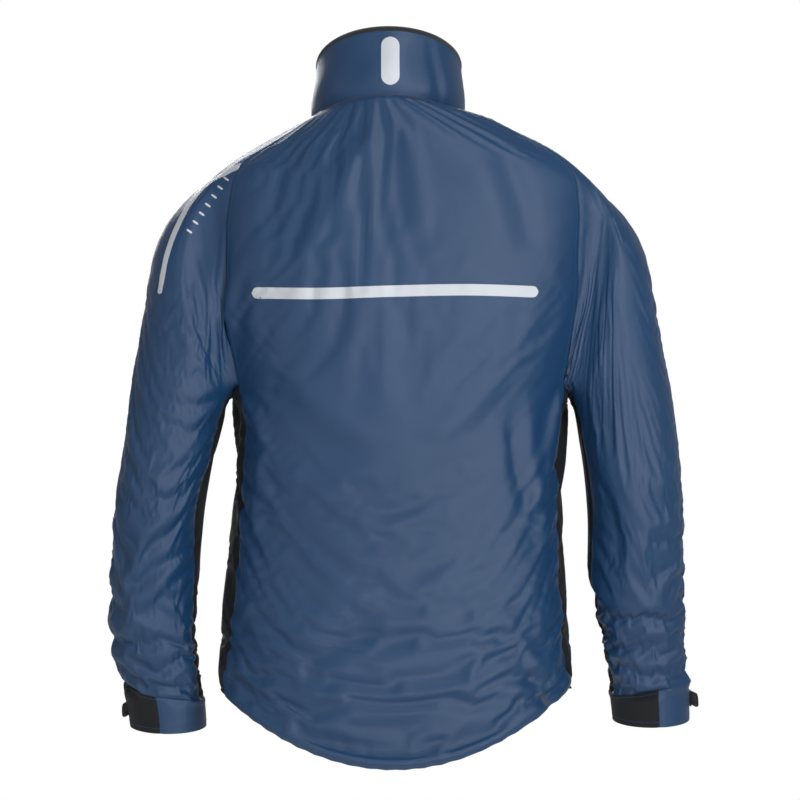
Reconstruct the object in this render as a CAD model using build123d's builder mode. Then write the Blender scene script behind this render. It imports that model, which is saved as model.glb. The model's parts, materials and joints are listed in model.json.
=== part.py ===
"""Foul weather jacket: a thin coated shell with raglan sleeves, a stand collar, a straight front zip,
two hand pockets, a stitched hem and cuffs closed by hook-and-loop straps.

Frame: origin at the centre of the neck opening, +X towards the wearer's left, +Y towards the back, +Z up.
Every cloth piece is a thin closed solid of its own. Millimetres and degrees."""

import os
from math import cos, radians, sin, sqrt, tan

from build123d import *

os.makedirs("parts", exist_ok=True)

# ---------------------------------------------------------------- driving dimensions
CLOTH = 1.4  # wall of the shell cloth with its seam allowance and coating
LINING = 0.8  # wall of the mesh lining and of the hem facing
PRINT = 0.6  # a bonded reflective strip
SHARE = 0.2  # the air between two layers of one body

ZIP_TOP, ZIP_FOOT = 10.0, -648.0  # heights of the front zip's ends
FRONT_TOP, FRONT_FOOT = -105.7, -143.9  # how far forward the front edge stands at those heights
LEAN = (FRONT_TOP - FRONT_FOOT) / (ZIP_TOP - ZIP_FOOT)  # the zip is one straight line

NECK_TILT, COLLAR_TILT = 18.3, 23.7  # the collar seam and the collar's top edge are higher at the back
NECK_HEIGHT, COLLAR_HEIGHT = -12.0, 57.0  # both at y = 0
NECK_HALF, COLLAR_HALF = 84.0, 79.0  # half widths
NECK_BACK, COLLAR_BACK = 74.0, 66.0
SEAM_DROP = 3.0  # the collar's cloth starts this far under the section where the shoulders end

# The body's stations from hem to neck: height at y = 0, tilt, half width, back, squareness.
STATIONS = [
    (-760, 0, 198, 116, 2.5),
    (-640, 0, 196, 111, 2.5),
    (-560, 0, 190, 105, 2.5),
    (-420, 0, 181, 100, 2.5),
    (-300, 0, 184, 108, 2.5),
    (-220, 1, 190, 114, 2.4),
    (-160, 3, 199, 113, 2.3),
    (-110, 6, 206, 107, 2.2),
    (-72, 9, 204, 100, 2.1),
    (-55, 11, 187, 95, 2.0),
    (-42, 13, 161, 90, 2.0),
    (-29, 15, 135, 84, 2.0),
    (-17, 17, 106, 78, 2.0),
    (NECK_HEIGHT, NECK_TILT, NECK_HALF, NECK_BACK, 2.0),
]
OUTLINE_POINTS = 16

HEM_SIDE, HEM_TAIL, HEM_FRONT = -640.0, -726.0, -650.0  # the drop tail is longest at the back
HEM_HALF = 205.0
HEM_BAND = 30.0  # height of the turned-up hem
SIDE_SEAM_BACK, SIDE_SEAM_FRONT, SIDE_TOP = 40.0, -80.0, -225.0
RAGLAN = [(76, 20), (76, -9), (152, -57), (180, -84), (200, -135), (186, -300)]  # half width and height

SHOULDER_R, ELBOW_R, WRIST_R = 60.0, 53.0, 43.0  # outer radii of the sleeve
FOREARM_R = 50.5  # the lower sleeve's head turns inside the upper sleeve
UPPER_LENGTH, LOWER_LENGTH = 298.0, 283.0
CUFF_LENGTH = 32.0
GUSSET_OFFSET = 38.0  # the underarm gusset starts this far inboard of the sleeve's middle
BEND = 70.0  # how far a sleeve folds at the elbow
RUNNING = 1.6  # air between a sleeve and what it moves past

# Each sleeve as it hangs: shoulder point, then how far each half leans outwards and forwards.
SLEEVES = {
    "left": {"sign": 1, "shoulder": (192, -5, -116), "out": (12.2, -0.6), "forward": (-2.6, 12.2)},
    "right": {"sign": -1, "shoulder": (-200, -5, -110), "out": (13.2, 4.1), "forward": (-2.6, 11.9)},
}

TAPE_HALF, SLOT_HALF = 13.0, 0.7  # the zip's tapes reach from the slot to the cloth
TAPE_BACK, TAPE_FACE, TEETH_FACE, TEETH_HALF = -1.9, -1.1, 0.3, 3.0
POCKET_LENGTH, POCKET_TAPE_HALF = 150.0, 5.0
POCKET_TOP, POCKET_FOOT = (98.0, -398.0), (138.0, -546.0)  # x and z of the pocket line's ends
TOP_STOP, BOX, SLIDER_HALF = 4.0, 9.0, 9.0  # the front zip's end pieces and half its slider
POCKET_STOP, POCKET_SLIDER_HALF, POCKET_SCALE = 4.0, 7.0, 0.8  # a pocket's slider is smaller than the front one
SLIDER_FACE = 0.65  # half the room that a slider leaves for the teeth
PULL_STAND, POCKET_PULL_STAND = 3.2, 3.8  # how far a puller's pin stands off its slider's inner face
PULL_LENGTH, POCKET_PULL_LENGTH = 38.0, 26.0

REFLECTOR_X, REFLECTOR_Z, REFLECTOR_LENGTH, REFLECTOR_HEIGHT = 0.0, -204.0, 314.0, 12.5
STRIPE_Y, STRIPE_WIDTH = 14.0, 6.0
STRIPE_FOOT = {"left": -207.0, "right": -179.0}
SADDLE_STRIPE = (96.0, 128.0)
LABEL_X, LABEL_Z, LABEL_WIDTH, LABEL_HEIGHT = 5.0, 50.0, 20.0, 53.0
BINDING = 1.8
FLAP_LENGTH = 538.0
LOOP_Y, LOOP_TOP = 62.0, 8.0

CUFF_TRIM = {"left": 1, "right": -1}  # the dark half of the cuff faces out on one side, in on the other
CUFF_SPLIT = 16.0
PATCH_R, STRAP_R, STRAP_WALL, STRAP_WIDTH = 44.6, 45.0, 1.6, 20.0
STRAP_ROOT, STRAP_LEAVES, STRAP_FREE = 78.0, 22.0, 24.0


# ---------------------------------------------------------------- helpers
def save(part, name):
    """Labels a finished piece and writes it as one STEP file."""
    part.label = name
    export_step(part, f"parts/{name}.step")


def front_y(height):
    """How far forward the front edge stands at a height."""
    return FRONT_TOP - (ZIP_TOP - height) * LEAN


def tilted(height, tilt):
    """A plane across the body that is higher at the back by its tilt."""
    t = radians(tilt)
    return Plane(origin=(0, 0, height), x_dir=(1, 0, 0), z_dir=(0, -sin(t), cos(t)))


def rounded_outline(half, front, back, squareness):
    """Points of a superellipse, from the wearer's left side round by the back."""
    middle, depth = (back + front) / 2, (back - front) / 2
    points = []
    for i in range(OUTLINE_POINTS):
        t = radians(360 * i / OUTLINE_POINTS)
        c, s = cos(t), sin(t)
        x = half * abs(c) ** (2 / squareness) * (1 if c >= 0 else -1)
        y = middle + depth * abs(s) ** (2 / squareness) * (1 if s >= 0 else -1)
        points.append((round(x, 6), round(y, 6)))
    return points


def body_section(height, tilt, half, back, squareness, grow):
    """One closed section of the body on its own tilted plane, grown outwards by grow."""
    slope = tan(radians(tilt))
    front = (FRONT_TOP - (ZIP_TOP - height) * LEAN) / (1 - LEAN * slope)
    scale = cos(radians(tilt))
    lift = 0.6 * grow if tilt else 0  # keeps the wall even where the shoulder slopes
    with BuildSketch(tilted(height + lift, tilt)) as section:
        with BuildLine():
            points = rounded_outline(half + grow, (front - grow) / scale, (back + grow) / scale, squareness)
            Spline(*points, periodic=True)
        make_face()
    return section.sketch


def body_form(grow):
    """The body as one solid from below the hem to the collar seam."""
    with BuildPart() as form:
        loft([body_section(*station, grow).face() for station in STATIONS])
    return form.part


def collar_section(height, grow):
    """The collar's section at a height; its taper runs on above and below the collar."""
    share = (height - NECK_HEIGHT) / (COLLAR_HEIGHT - NECK_HEIGHT)
    tilt = NECK_TILT + (COLLAR_TILT - NECK_TILT) * share
    half = NECK_HALF + (COLLAR_HALF - NECK_HALF) * share
    back = NECK_BACK + (COLLAR_BACK - NECK_BACK) * share
    return body_section(height - 0.6 * grow, tilt, half, back, 2.0, grow)


def collar_form(grow, rise=0.0, drop=0.0):
    """The neck as one solid from the collar seam to the collar's top edge."""
    with BuildPart() as form:
        low, high = NECK_HEIGHT - drop, COLLAR_HEIGHT + rise
        loft([collar_section(low, grow).face(), collar_section(high, grow).face()])
    return form.part


def above_hem(lift=0.0):
    """Everything above the hem's edge, which is an arc at the back and nearly level in front."""
    half, top = HEM_HALF, 150.0
    with BuildPart() as region:
        for end, low in ((Plane.XZ, HEM_TAIL), (Plane.XZ.rotated((0, 0, 180)), HEM_FRONT)):
            with BuildSketch(end):
                with BuildLine():
                    ThreePointArc((-half, HEM_SIDE + lift), (0, low + lift), (half, HEM_SIDE + lift))
                    Polyline((half, HEM_SIDE + lift), (half, top), (-half, top), (-half, HEM_SIDE + lift))
                make_face()
            extrude(amount=-300)
    return region.part


def block(low, high):
    """A box between two opposite corners, used as a cutting region."""
    low, high = [min(a, b) for a, b in zip(low, high)], [max(a, b) for a, b in zip(low, high)]
    size = [b - a for a, b in zip(low, high)]
    centre = [(a + b) / 2 for a, b in zip(low, high)]
    return Location(centre) * Box(*size, mode=Mode.PRIVATE)


def mirrored_blocks(low, high):
    """The same box on both sides of the body."""
    return [block(low, high), block((-high[0], low[1], low[2]), (-low[0], high[1], high[2]))]


def lean(out, forward, sign):
    """The unit direction of a sleeve half that hangs down, leaning outwards and forwards."""
    return Vector(sign * tan(radians(out)), -tan(radians(forward)), -1).normalized()


def tube_plane(start, direction):
    """A plane at a tube's start whose normal runs along it and whose X points sideways."""
    return Plane(origin=start, x_dir=(Vector(0, 1, 0).cross(direction)).normalized(), z_dir=direction)


def pick(part):
    """Drops crumbs that a cut leaves: keeps the solids that are at least a fiftieth of the largest."""
    solids = sorted(part.solids(), key=lambda solid: -solid.volume)
    with BuildPart() as kept:
        for solid in solids:
            if solid.volume > solids[0].volume / 50:
                add(solid)
    return kept.part


def between(whole, *regions):
    """The share of a cloth shell that lies in every region."""
    for region in regions:
        whole = whole & region
    return whole


def without(whole, *regions):
    """A cloth shell with regions cut away."""
    for region in regions:
        whole = whole - region
    return whole


# ---------------------------------------------------------------- sleeves
def sleeve_frames(side):
    """The shoulder, elbow and wrist points of a sleeve and the directions of its two halves."""
    spec = SLEEVES[side]
    sign = spec["sign"]
    shoulder = Vector(*spec["shoulder"])
    upper = lean(spec["out"][0], spec["forward"][0], sign)
    elbow = shoulder + upper * UPPER_LENGTH
    lower = lean(spec["out"][1], spec["forward"][1], sign)
    return shoulder, upper, elbow, lower, elbow + lower * LOWER_LENGTH


def tube_solid(start, direction, length, first, last, grow):
    """A ball at the tube's start and the tapering tube itself, as one solid cutting region."""
    with BuildPart() as tube:
        Sphere(first + grow)
        Cone(first + grow, last + grow, length, align=(Align.CENTER, Align.CENTER, Align.MIN))
    return tube_plane(start, direction).location * tube.part


def sleeve_wall(start, direction, length, first, last, opening, wall=CLOTH):
    """The hollow wall of one half of a sleeve: a round head, open at its top, and a tapering tube."""
    a = radians(opening)
    with BuildPart() as tube:
        with BuildSketch(Plane.XZ):
            with BuildLine():
                out, mid, end = [], [], []
                for radius in (first, first - wall):
                    out.append((radius * sin(a), -radius * cos(a)))
                    half = (a + radians(90)) / 2
                    mid.append((radius * sin(half), -radius * cos(half)))
                    end.append((radius, 0))
                ThreePointArc(out[0], mid[0], end[0])
                Polyline(end[0], (last, length), (last - wall, length), end[1])
                ThreePointArc(end[1], mid[1], out[1])
                Line(out[1], out[0])
            make_face()
        revolve(axis=Axis.Z)
    return tube_plane(start, direction).location * tube.part


def slab(plane, low, high, span=400.0):
    """A wide slab between two offsets along a plane's normal."""
    middle = plane.offset((low + high) / 2)
    return middle.location * Box(span, span, high - low, mode=Mode.PRIVATE)


def split_by_gusset(wall, start, direction, sign):
    """Splits a sleeve wall into its outer cloth and the gusset along its inner side."""
    across = Plane(origin=start, x_dir=direction, z_dir=tube_plane(start, direction).x_dir * -sign)
    gusset = between(wall, slab(across, -120, -GUSSET_OFFSET, 900))
    cloth = between(wall, slab(across, -GUSSET_OFFSET, 120, 900))
    return pick(cloth), pick(gusset)


def swung(start, direction, length, first, last, axis, sweep):
    """The space that a sleeve half takes as it turns about its joint, as a few solids."""
    steps = 8
    solids = []
    for i in range(steps):
        turn = Axis(start, axis)
        solid = tube_solid(start, direction, length, first, last, RUNNING / 2)
        solids.append(solid.rotate(turn, sweep * i / (steps - 1)))
    return solids


def make_sleeve(side, inside):
    """One sleeve's two halves and its strip; hands back the wall of its cuff."""
    sign = SLEEVES[side]["sign"]
    shoulder, upper, elbow, lower, wrist = sleeve_frames(side)
    wall = without(sleeve_wall(shoulder, upper, UPPER_LENGTH, SHOULDER_R, ELBOW_R, 2), inside)
    # the end is cut back in front, so that the lower sleeve folds past it
    folding = swung(elbow, lower, LOWER_LENGTH, FOREARM_R, WRIST_R, (-1, 0, 0), BEND)
    cloth, gusset = split_by_gusset(pick(without(wall, *folding)), shoulder, upper, sign)
    save(cloth, f"{side}_upper_sleeve")
    save(gusset, f"{side}_upper_gusset")

    skin = sleeve_wall(
        shoulder, upper, UPPER_LENGTH, SHOULDER_R + PRINT, ELBOW_R + PRINT, 2, PRINT
    )
    low, high = (sign * 172, STRIPE_Y, STRIPE_FOOT[side]), (sign * 330, STRIPE_Y + STRIPE_WIDTH, 0)
    save(pick(without(between(skin, block(low, high)), inside)), f"{side}_sleeve_stripe")

    wall = sleeve_wall(elbow, lower, LOWER_LENGTH, FOREARM_R, WRIST_R, 45)
    seam = tube_plane(elbow, lower).offset(LOWER_LENGTH - CUFF_LENGTH)
    cloth, gusset = split_by_gusset(between(wall, slab(seam, -500, 0, 900)), elbow, lower, sign)
    save(cloth, f"{side}_forearm_sleeve")
    save(gusset, f"{side}_forearm_gusset")
    return between(wall, slab(seam, 0, 200, 900))


def make_cuff(side, wall):
    """The cuff in two cloths, its hook-and-loop patch and the strap that closes it."""
    sign = SLEEVES[side]["sign"]
    elbow, lower, wrist = sleeve_frames(side)[2:]
    frame = tube_plane(wrist, lower)
    outboard = Plane(origin=wrist, x_dir=lower, z_dir=frame.x_dir * -sign * CUFF_TRIM[side])
    save(between(wall, slab(outboard, -200, CUFF_SPLIT, 900)), f"{side}_cuff")
    save(between(wall, slab(outboard, CUFF_SPLIT, 200, 900)), f"{side}_cuff_trim")

    # angles run from outboard towards the front, seen along the sleeve
    def at(angle, radius):
        turn = radians(angle)
        return (-sign * radius * cos(turn), -radius * sin(turn))

    middle = -CUFF_LENGTH / 2 - 1
    for name, first, last, inner, outer, half in (
        ("cuff_patch", 8, 62, WRIST_R - 0.2, PATCH_R, 8.5),
        ("cuff_strap", STRAP_LEAVES, STRAP_ROOT, STRAP_R, STRAP_R + STRAP_WALL, STRAP_WIDTH / 2),
    ):
        with BuildPart() as strap:
            with BuildSketch(Plane.XY.offset(middle - half)):
                with BuildLine():
                    centre = (first + last) / 2
                    ThreePointArc(at(first, inner), at(centre, inner), at(last, inner))
                    Line(at(last, inner), at(last, outer))
                    ThreePointArc(at(last, outer), at(centre, outer), at(first, outer))
                    Line(at(first, outer), at(first, inner))
                make_face()
            extrude(amount=2 * half)
            if name == "cuff_strap":
                reach = STRAP_FREE
                turn = radians(first)
                along = (-sign * sin(turn), cos(turn))
                corners = [at(first, inner), at(first, outer)]
                tips = [(c[0] + along[0] * reach, c[1] + along[1] * reach) for c in corners]
                with BuildSketch(Plane.XY.offset(middle - half + 2)):
                    Polygon(corners[0], tips[0], tips[1], corners[1], align=None)
                extrude(amount=2 * half - 4)
        piece = frame.location * strap.part
        if name == "cuff_patch":
            cone = sleeve_wall(elbow, lower, LOWER_LENGTH, FOREARM_R, WRIST_R, 45, 6.0)
            piece = pick(piece - cone)
        save(piece, f"{side}_{name}")
    hinge = frame.from_local_coords(Vector(*at(STRAP_ROOT, STRAP_R + STRAP_WALL / 2), middle))
    print(side, "strap hinge", hinge, "along", lower)


# ---------------------------------------------------------------- body cloth
def raglan_regions():
    """The two regions outboard of the raglan seams, right through the body."""
    regions = []
    for sign in (1, -1):
        with BuildPart() as region:
            with BuildSketch(Plane.XZ):
                edge = [(sign * x, z) for x, z in RAGLAN]
                Polygon(*edge, (sign * 400, RAGLAN[-1][1]), (sign * 400, RAGLAN[0][1]), align=None)
            extrude(amount=400, both=True)
        regions.append(region.part)
    return regions


def armholes():
    """What each sleeve needs of the body: the ball at the shoulder and the tube below it."""
    holes = []
    for side in ("left", "right"):
        shoulder, upper = sleeve_frames(side)[:2]
        holes.append(tube_solid(shoulder, upper, UPPER_LENGTH, SHOULDER_R, ELBOW_R, RUNNING))
    return holes


def make_body(outer, inner, holes, raglans):
    """The panels of the shell: back, two fronts, two dark sides and the two raglan heads."""
    neck = slab(tilted(NECK_HEIGHT - SEAM_DROP, NECK_TILT), 0, 200, 900)
    front = block((-TAPE_HALF, -400, -720), (TAPE_HALF, -60, 120))
    shell = between(outer - inner, above_hem())
    shell = without(shell, neck, front, *holes, *pocket_windows())
    sides = mirrored_blocks((90, SIDE_SEAM_FRONT, -800), (400, SIDE_SEAM_BACK, SIDE_TOP))
    save(pick(without(between(shell, block((-400, SIDE_SEAM_BACK, -800), (400, 400, 200))), *raglans)), "back_panel")
    for index, side in enumerate(("left", "right")):
        sign = SLEEVES[side]["sign"]
        half = block((0, -400, -800), (400, 400, 200)) if sign > 0 else block((-400, -400, -800), (0, 400, 200))
        own = between(shell, half)
        save(pick(between(own, sides[index])), f"{side}_side_panel")
        save(pick(between(own, raglans[index])), f"{side}_raglan_head")
        forward = between(own, block((-400, -400, -800), (400, SIDE_SEAM_BACK, 200)))
        save(pick(without(forward, sides[index], raglans[index])), f"{side}_front_panel")


def make_linings(first, second, holes):
    """The back's mesh lining and the facing inside the hem."""
    sheet = first - second
    back = block((-400, SIDE_SEAM_BACK, -800), (400, 400, 200))
    lining = between(sheet, back, above_hem(HEM_BAND + 1))
    neck = slab(tilted(NECK_HEIGHT - SEAM_DROP - 1, NECK_TILT), 0, 200, 900)
    save(pick(without(lining, neck, *holes)), "back_lining")
    band = without(between(sheet, above_hem()), above_hem(HEM_BAND))
    save(pick(without(band, block((-16, -400, -720), (16, -60, 0)))), "hem_facing")


def make_collar():
    """The collar's cloth, its lining, the binding on its top edge, the label and the loop."""
    front = block((-TAPE_HALF, -400, -200), (TAPE_HALF, -40, 120))
    drop = SEAM_DROP - 0.4
    save(without(collar_form(0, drop=drop), collar_form(-CLOTH, rise=5, drop=5), front), "collar_shell")
    lining = without(collar_form(-CLOTH - SHARE, drop=drop), collar_form(-2.4, rise=5, drop=5), front)
    save(lining, "collar_lining")
    rings = []
    for grow, spread in ((0.4, 0), (-2.8, 2)):
        with BuildPart() as ring:
            low, high = COLLAR_HEIGHT + 0.05 - spread, COLLAR_HEIGHT + BINDING + spread
            loft([collar_section(low, grow).face(), collar_section(high, grow).face()])
        rings.append(ring.part)
    save(without(rings[0] - rings[1], front), "collar_binding")
    with BuildPart() as label:
        with BuildSketch(Plane.XZ.offset(-45)):
            with Locations((LABEL_X, LABEL_Z)):
                SlotCenterToCenter(LABEL_HEIGHT - LABEL_WIDTH, LABEL_WIDTH, rotation=90)
        extrude(amount=-200)
    save(pick(between(collar_form(PRINT) - collar_form(0), label.part)), "collar_label")
    care = between(collar_form(-2.5), block((-20, 0, 28), (20, 200, 58))) - collar_form(-3.0, rise=5, drop=5)
    save(care, "neck_label")
    with BuildPart() as loop:
        with Locations((0, LOOP_Y, LOOP_TOP - 9)):
            Box(62, 1.2, 18)
        with Locations((0, LOOP_Y, LOOP_TOP - 6)):
            Box(50, 5, 12.1, mode=Mode.SUBTRACT)
    save(loop.part, "hanger_loop")


def make_strips(outer, grown, raglans, holes):
    """The reflective strips on the back and over the shoulders."""
    skin = grown - outer
    with BuildPart() as strip:
        with BuildSketch(Plane.XZ):
            with Locations((REFLECTOR_X, REFLECTOR_Z)):
                SlotOverall(REFLECTOR_LENGTH, REFLECTOR_HEIGHT)
        extrude(amount=-300)
    save(between(skin, strip.part), "back_reflector")
    for index, side in enumerate(("left", "right")):
        sign = SLEEVES[side]["sign"]
        low, high = (sign * SADDLE_STRIPE[0], STRIPE_Y, -80), (sign * SADDLE_STRIPE[1], STRIPE_Y + STRIPE_WIDTH, 40)
        piece = without(between(skin, block(low, high)), *holes)
        save(pick(piece), f"{side}_raglan_stripe")


# ---------------------------------------------------------------- zips
def zip_frame():
    """The main zip's own frame: Z up along the zip, Y into the jacket, origin at its foot."""
    rise = Vector(0, FRONT_TOP - FRONT_FOOT, ZIP_TOP - ZIP_FOOT)
    return Plane(origin=(0, FRONT_FOOT, ZIP_FOOT), x_dir=(1, 0, 0), z_dir=rise.normalized())


def front_surface(x, height):
    """Where the front of the body stands at a half width and height, and how it slopes there."""
    below = max(s for s in STATIONS if s[0] <= height)
    above = min(s for s in STATIONS if s[0] > height)
    share = (height - below[0]) / (above[0] - below[0])
    half, back = (below[i] + (above[i] - below[i]) * share for i in (2, 3))
    front, n = front_y(height), 2.5
    middle, depth = (back + front) / 2, (back - front) / 2
    rest = 1 - (x / half) ** n
    slope = depth / half * (x / half) ** (n - 1) * rest ** (1 / n - 1)
    return middle - depth * rest ** (1 / n), slope


def pocket_frame(sign):
    """A hand pocket's own frame: Z up along its zip, Y into the jacket, origin at its middle."""
    ends = []
    for x, z in (POCKET_FOOT, POCKET_TOP):
        y, _ = front_surface(x, z)
        ends.append(Vector(sign * x, y, z))
    middle = (ends[0] + ends[1]) / 2
    _, slope = front_surface(abs(middle.X), middle.Z)
    rise = (ends[1] - ends[0]).normalized()
    inward = Vector(-sign * slope, 1, 0)
    across = inward.cross(rise).normalized()
    return Plane(origin=middle, x_dir=across, z_dir=rise)


def pocket_windows():
    """The slots in the fronts that the pocket zips fill."""
    windows = []
    for sign in (1, -1):
        windows.append(pocket_frame(sign).location * Box(2 * POCKET_TAPE_HALF, 40, POCKET_LENGTH))
    return windows


def bar(x, y, z):
    """A box from its three ranges."""
    return block((x[0], y[0], z[0]), (x[1], y[1], z[1]))


def slider_part(size, stand):
    """A zip slider about its own middle, with two lugs for its puller."""
    with BuildPart() as slider:
        add(bar((-5.5 * size, 5.5 * size), (-SLIDER_FACE - 1.6 * size, -SLIDER_FACE), (-8 * size, 8 * size)))
        add(bar((-5 * size, 5 * size), (2.25, 2.25 + 1.1 * size), (-7 * size, 7 * size)))
        add(bar((-0.35, 0.35), (-SLIDER_FACE, 2.25), (2 * size, 7 * size)))
        for sign in (1, -1):
            low, far = -SLIDER_FACE - 1.6 * size, -SLIDER_FACE - stand - 1.4 * size
            add(bar((sign * 2.6 * size, sign * 3.8 * size), (far, low), (-2 * size, 2 * size)))
        with Locations(Location((0, -SLIDER_FACE - stand, 0), (0, 90, 0))):
            Cylinder(0.95 * size, 12 * size, mode=Mode.SUBTRACT)
    return slider.part


def puller_part(size, length):
    """A zip puller about its hinge pin, hanging down."""
    with BuildPart() as puller:
        with Locations(Location((0, 0, 0), (0, 90, 0))):
            Cylinder(0.9 * size, 4.6 * size)
            Cylinder(0.72 * size, 7.2 * size)
        add(bar((-2 * size, 2 * size), (-0.5 * size, 0.5 * size), (-length * 0.55, 0)))
    return puller.part


def grip_part(size, length):
    """The moulded grip on the end of a puller."""
    with BuildPart() as grip:
        add(bar((-3.6 * size, 3.6 * size), (-1.2 * size, 0.9 * size), (-length, -length * 0.55)))
        fillet(grip.edges().filter_by(Axis.Y), 1.5 * size)
    return grip.part


def pull_pin(home, stand):
    """The frame of a puller's pin on a slider."""
    return Plane(origin=home.from_local_coords(Vector(0, -SLIDER_FACE - stand, 0)), x_dir=home.x_dir, z_dir=home.z_dir)


def make_main_zip(inside):
    """The front zip from hem to collar, its slider and puller, and the flap behind it."""
    frame = zip_frame()
    length = (ZIP_TOP - ZIP_FOOT) * sqrt(1 + LEAN**2)
    foot = bar((-4, 4), (-1.2, 2.6), (0, BOX))
    save(frame.location * foot, "zip_box")
    stops = []
    for side in ("left", "right"):
        s = SLEEVES[side]["sign"]
        tape = bar((s * SLOT_HALF, s * TAPE_HALF), (-TAPE_FACE, -TAPE_BACK), (0, length))
        save(frame.location * without(tape, foot), f"{side}_zip_tape")
        teeth = bar((s * SLOT_HALF, s * TEETH_HALF), (-TEETH_FACE, -TAPE_FACE), (BOX, length - TOP_STOP))
        save(frame.location * teeth, f"{side}_zip_teeth")
        stops.append(bar((s * SLOT_HALF, s * TEETH_HALF), (-TEETH_FACE, -TAPE_FACE), (length - TOP_STOP, length)))
    with BuildPart() as pair:
        for stop in stops:
            add(frame.location * stop)
    save(pair.part, "zip_top_stops")
    home = frame.offset(length - TOP_STOP - SLIDER_HALF)
    save(home.location * slider_part(1.0, PULL_STAND), "zip_slider")
    pin = pull_pin(home, PULL_STAND)
    save(pin.location * puller_part(1.0, PULL_LENGTH), "zip_puller")
    save(pin.location * grip_part(1.0, PULL_LENGTH), "zip_grip")
    travel = length - TOP_STOP - BOX - 2 * SLIDER_HALF
    print("main zip slides along", home.z_dir, "from", home.origin, "by", travel, "pin", pin.origin)
    flap = frame.location * bar((-24, 16), (3.9, 4.7), (11, FLAP_LENGTH))
    save(between(flap, inside), "storm_flap")
    guard = frame.location * bar((-9, 9), (3.9, 4.7), (length - 40, length - 2))
    save(guard, "chin_guard")


def make_pocket(side, inside):
    """One hand pocket: its tape and teeth, the slider and puller, and the bag inside."""
    s = SLEEVES[side]["sign"]
    frame = pocket_frame(s)
    half = POCKET_LENGTH / 2
    with BuildPart() as tapes:
        for sign in (1, -1):
            add(bar((sign * SLOT_HALF, sign * (POCKET_TAPE_HALF - 0.05)), (1.1, 1.9), (-half + 0.1, half - 0.1)))
        for end in (1, -1):
            add(bar((-SLOT_HALF, SLOT_HALF), (1.1, 1.9), (end * (half - POCKET_STOP + 1), end * (half - 0.1))))
    save(frame.location * tapes.part, f"{side}_pocket_tape")
    with BuildPart() as teeth:
        for sign in (1, -1):
            add(bar((sign * SLOT_HALF, sign * 2.4), (-0.3, 1.1), (-half + POCKET_STOP - 1, half - POCKET_STOP + 1)))
        for end in (1, -1):
            add(bar((-SLOT_HALF, SLOT_HALF), (-0.3, 1.1), (end * (half - POCKET_STOP), end * (half - POCKET_STOP + 1))))
    save(frame.location * teeth.part, f"{side}_pocket_teeth")
    home = frame.offset(half - POCKET_STOP - POCKET_SLIDER_HALF)
    save(home.location * slider_part(POCKET_SCALE, POCKET_PULL_STAND), f"{side}_pocket_slider")
    pin = pull_pin(home, POCKET_PULL_STAND)
    save(pin.location * puller_part(POCKET_SCALE, POCKET_PULL_LENGTH), f"{side}_pocket_puller")
    save(pin.location * grip_part(POCKET_SCALE, POCKET_PULL_LENGTH), f"{side}_pocket_grip")
    travel = POCKET_LENGTH - 2 * (POCKET_STOP + POCKET_SLIDER_HALF)
    print(side, "pocket slides along", home.z_dir, "from", home.origin, "by", travel)
    print(side, "pocket pin", pin.origin, "axis", home.x_dir)
    outer = frame.location * bar((-s * 12, s * 70), (-30, 12), (-half - 45, half + 10))
    cave = frame.location * bar((-s * 11.2, s * 69.2), (-40, 11.2), (-half - 44.2, half + 9.2))
    save(pick(between(outer, inside) - cave), f"{side}_pocket_bag")


def main():
    outer, inner = body_form(0), body_form(-CLOTH)
    first, second = body_form(-CLOTH - SHARE), body_form(-CLOTH - SHARE - LINING)
    raglans, holes = raglan_regions(), armholes()
    make_body(outer, inner, holes, raglans)
    make_linings(first, second, holes)
    make_collar()
    make_strips(outer, body_form(PRINT), raglans, holes)
    for side in ("left", "right"):
        make_cuff(side, make_sleeve(side, second))
        make_pocket(side, first)
    make_main_zip(first)


if __name__ == "__main__":
    main()
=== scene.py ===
"""Looks for the foul weather jacket: its cloth is one simulated mesh, cut into sewn panels, with seams, stitches,
strips and zips added. Metres, in the same frame as the CAD: +X the wearer's left, +Y the back, +Z up."""

import json
import math

import bmesh
import bpy
import numpy as np
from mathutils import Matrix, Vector
from mathutils.bvhtree import BVHTree


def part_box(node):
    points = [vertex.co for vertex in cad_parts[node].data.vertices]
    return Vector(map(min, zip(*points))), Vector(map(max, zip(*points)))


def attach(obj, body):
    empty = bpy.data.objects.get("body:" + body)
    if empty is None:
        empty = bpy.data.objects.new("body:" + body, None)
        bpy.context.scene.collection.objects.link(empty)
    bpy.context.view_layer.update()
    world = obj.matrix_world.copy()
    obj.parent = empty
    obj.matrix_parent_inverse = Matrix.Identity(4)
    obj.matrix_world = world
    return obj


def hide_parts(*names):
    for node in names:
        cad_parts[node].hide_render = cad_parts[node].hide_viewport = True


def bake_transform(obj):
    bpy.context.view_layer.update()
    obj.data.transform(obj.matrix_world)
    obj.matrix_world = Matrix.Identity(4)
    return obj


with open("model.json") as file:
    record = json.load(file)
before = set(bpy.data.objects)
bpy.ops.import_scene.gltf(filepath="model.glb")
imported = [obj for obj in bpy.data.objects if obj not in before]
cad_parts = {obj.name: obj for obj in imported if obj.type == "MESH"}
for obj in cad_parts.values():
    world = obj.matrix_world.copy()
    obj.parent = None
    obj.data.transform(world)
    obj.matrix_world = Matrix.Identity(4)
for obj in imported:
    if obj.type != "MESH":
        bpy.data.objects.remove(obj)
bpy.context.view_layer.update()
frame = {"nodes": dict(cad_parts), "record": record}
JOINTS = {joint["name"]: joint for joint in frame["record"]["behaviour"]["joints"]}
SIDES = {"left": 1, "right": -1}

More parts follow.
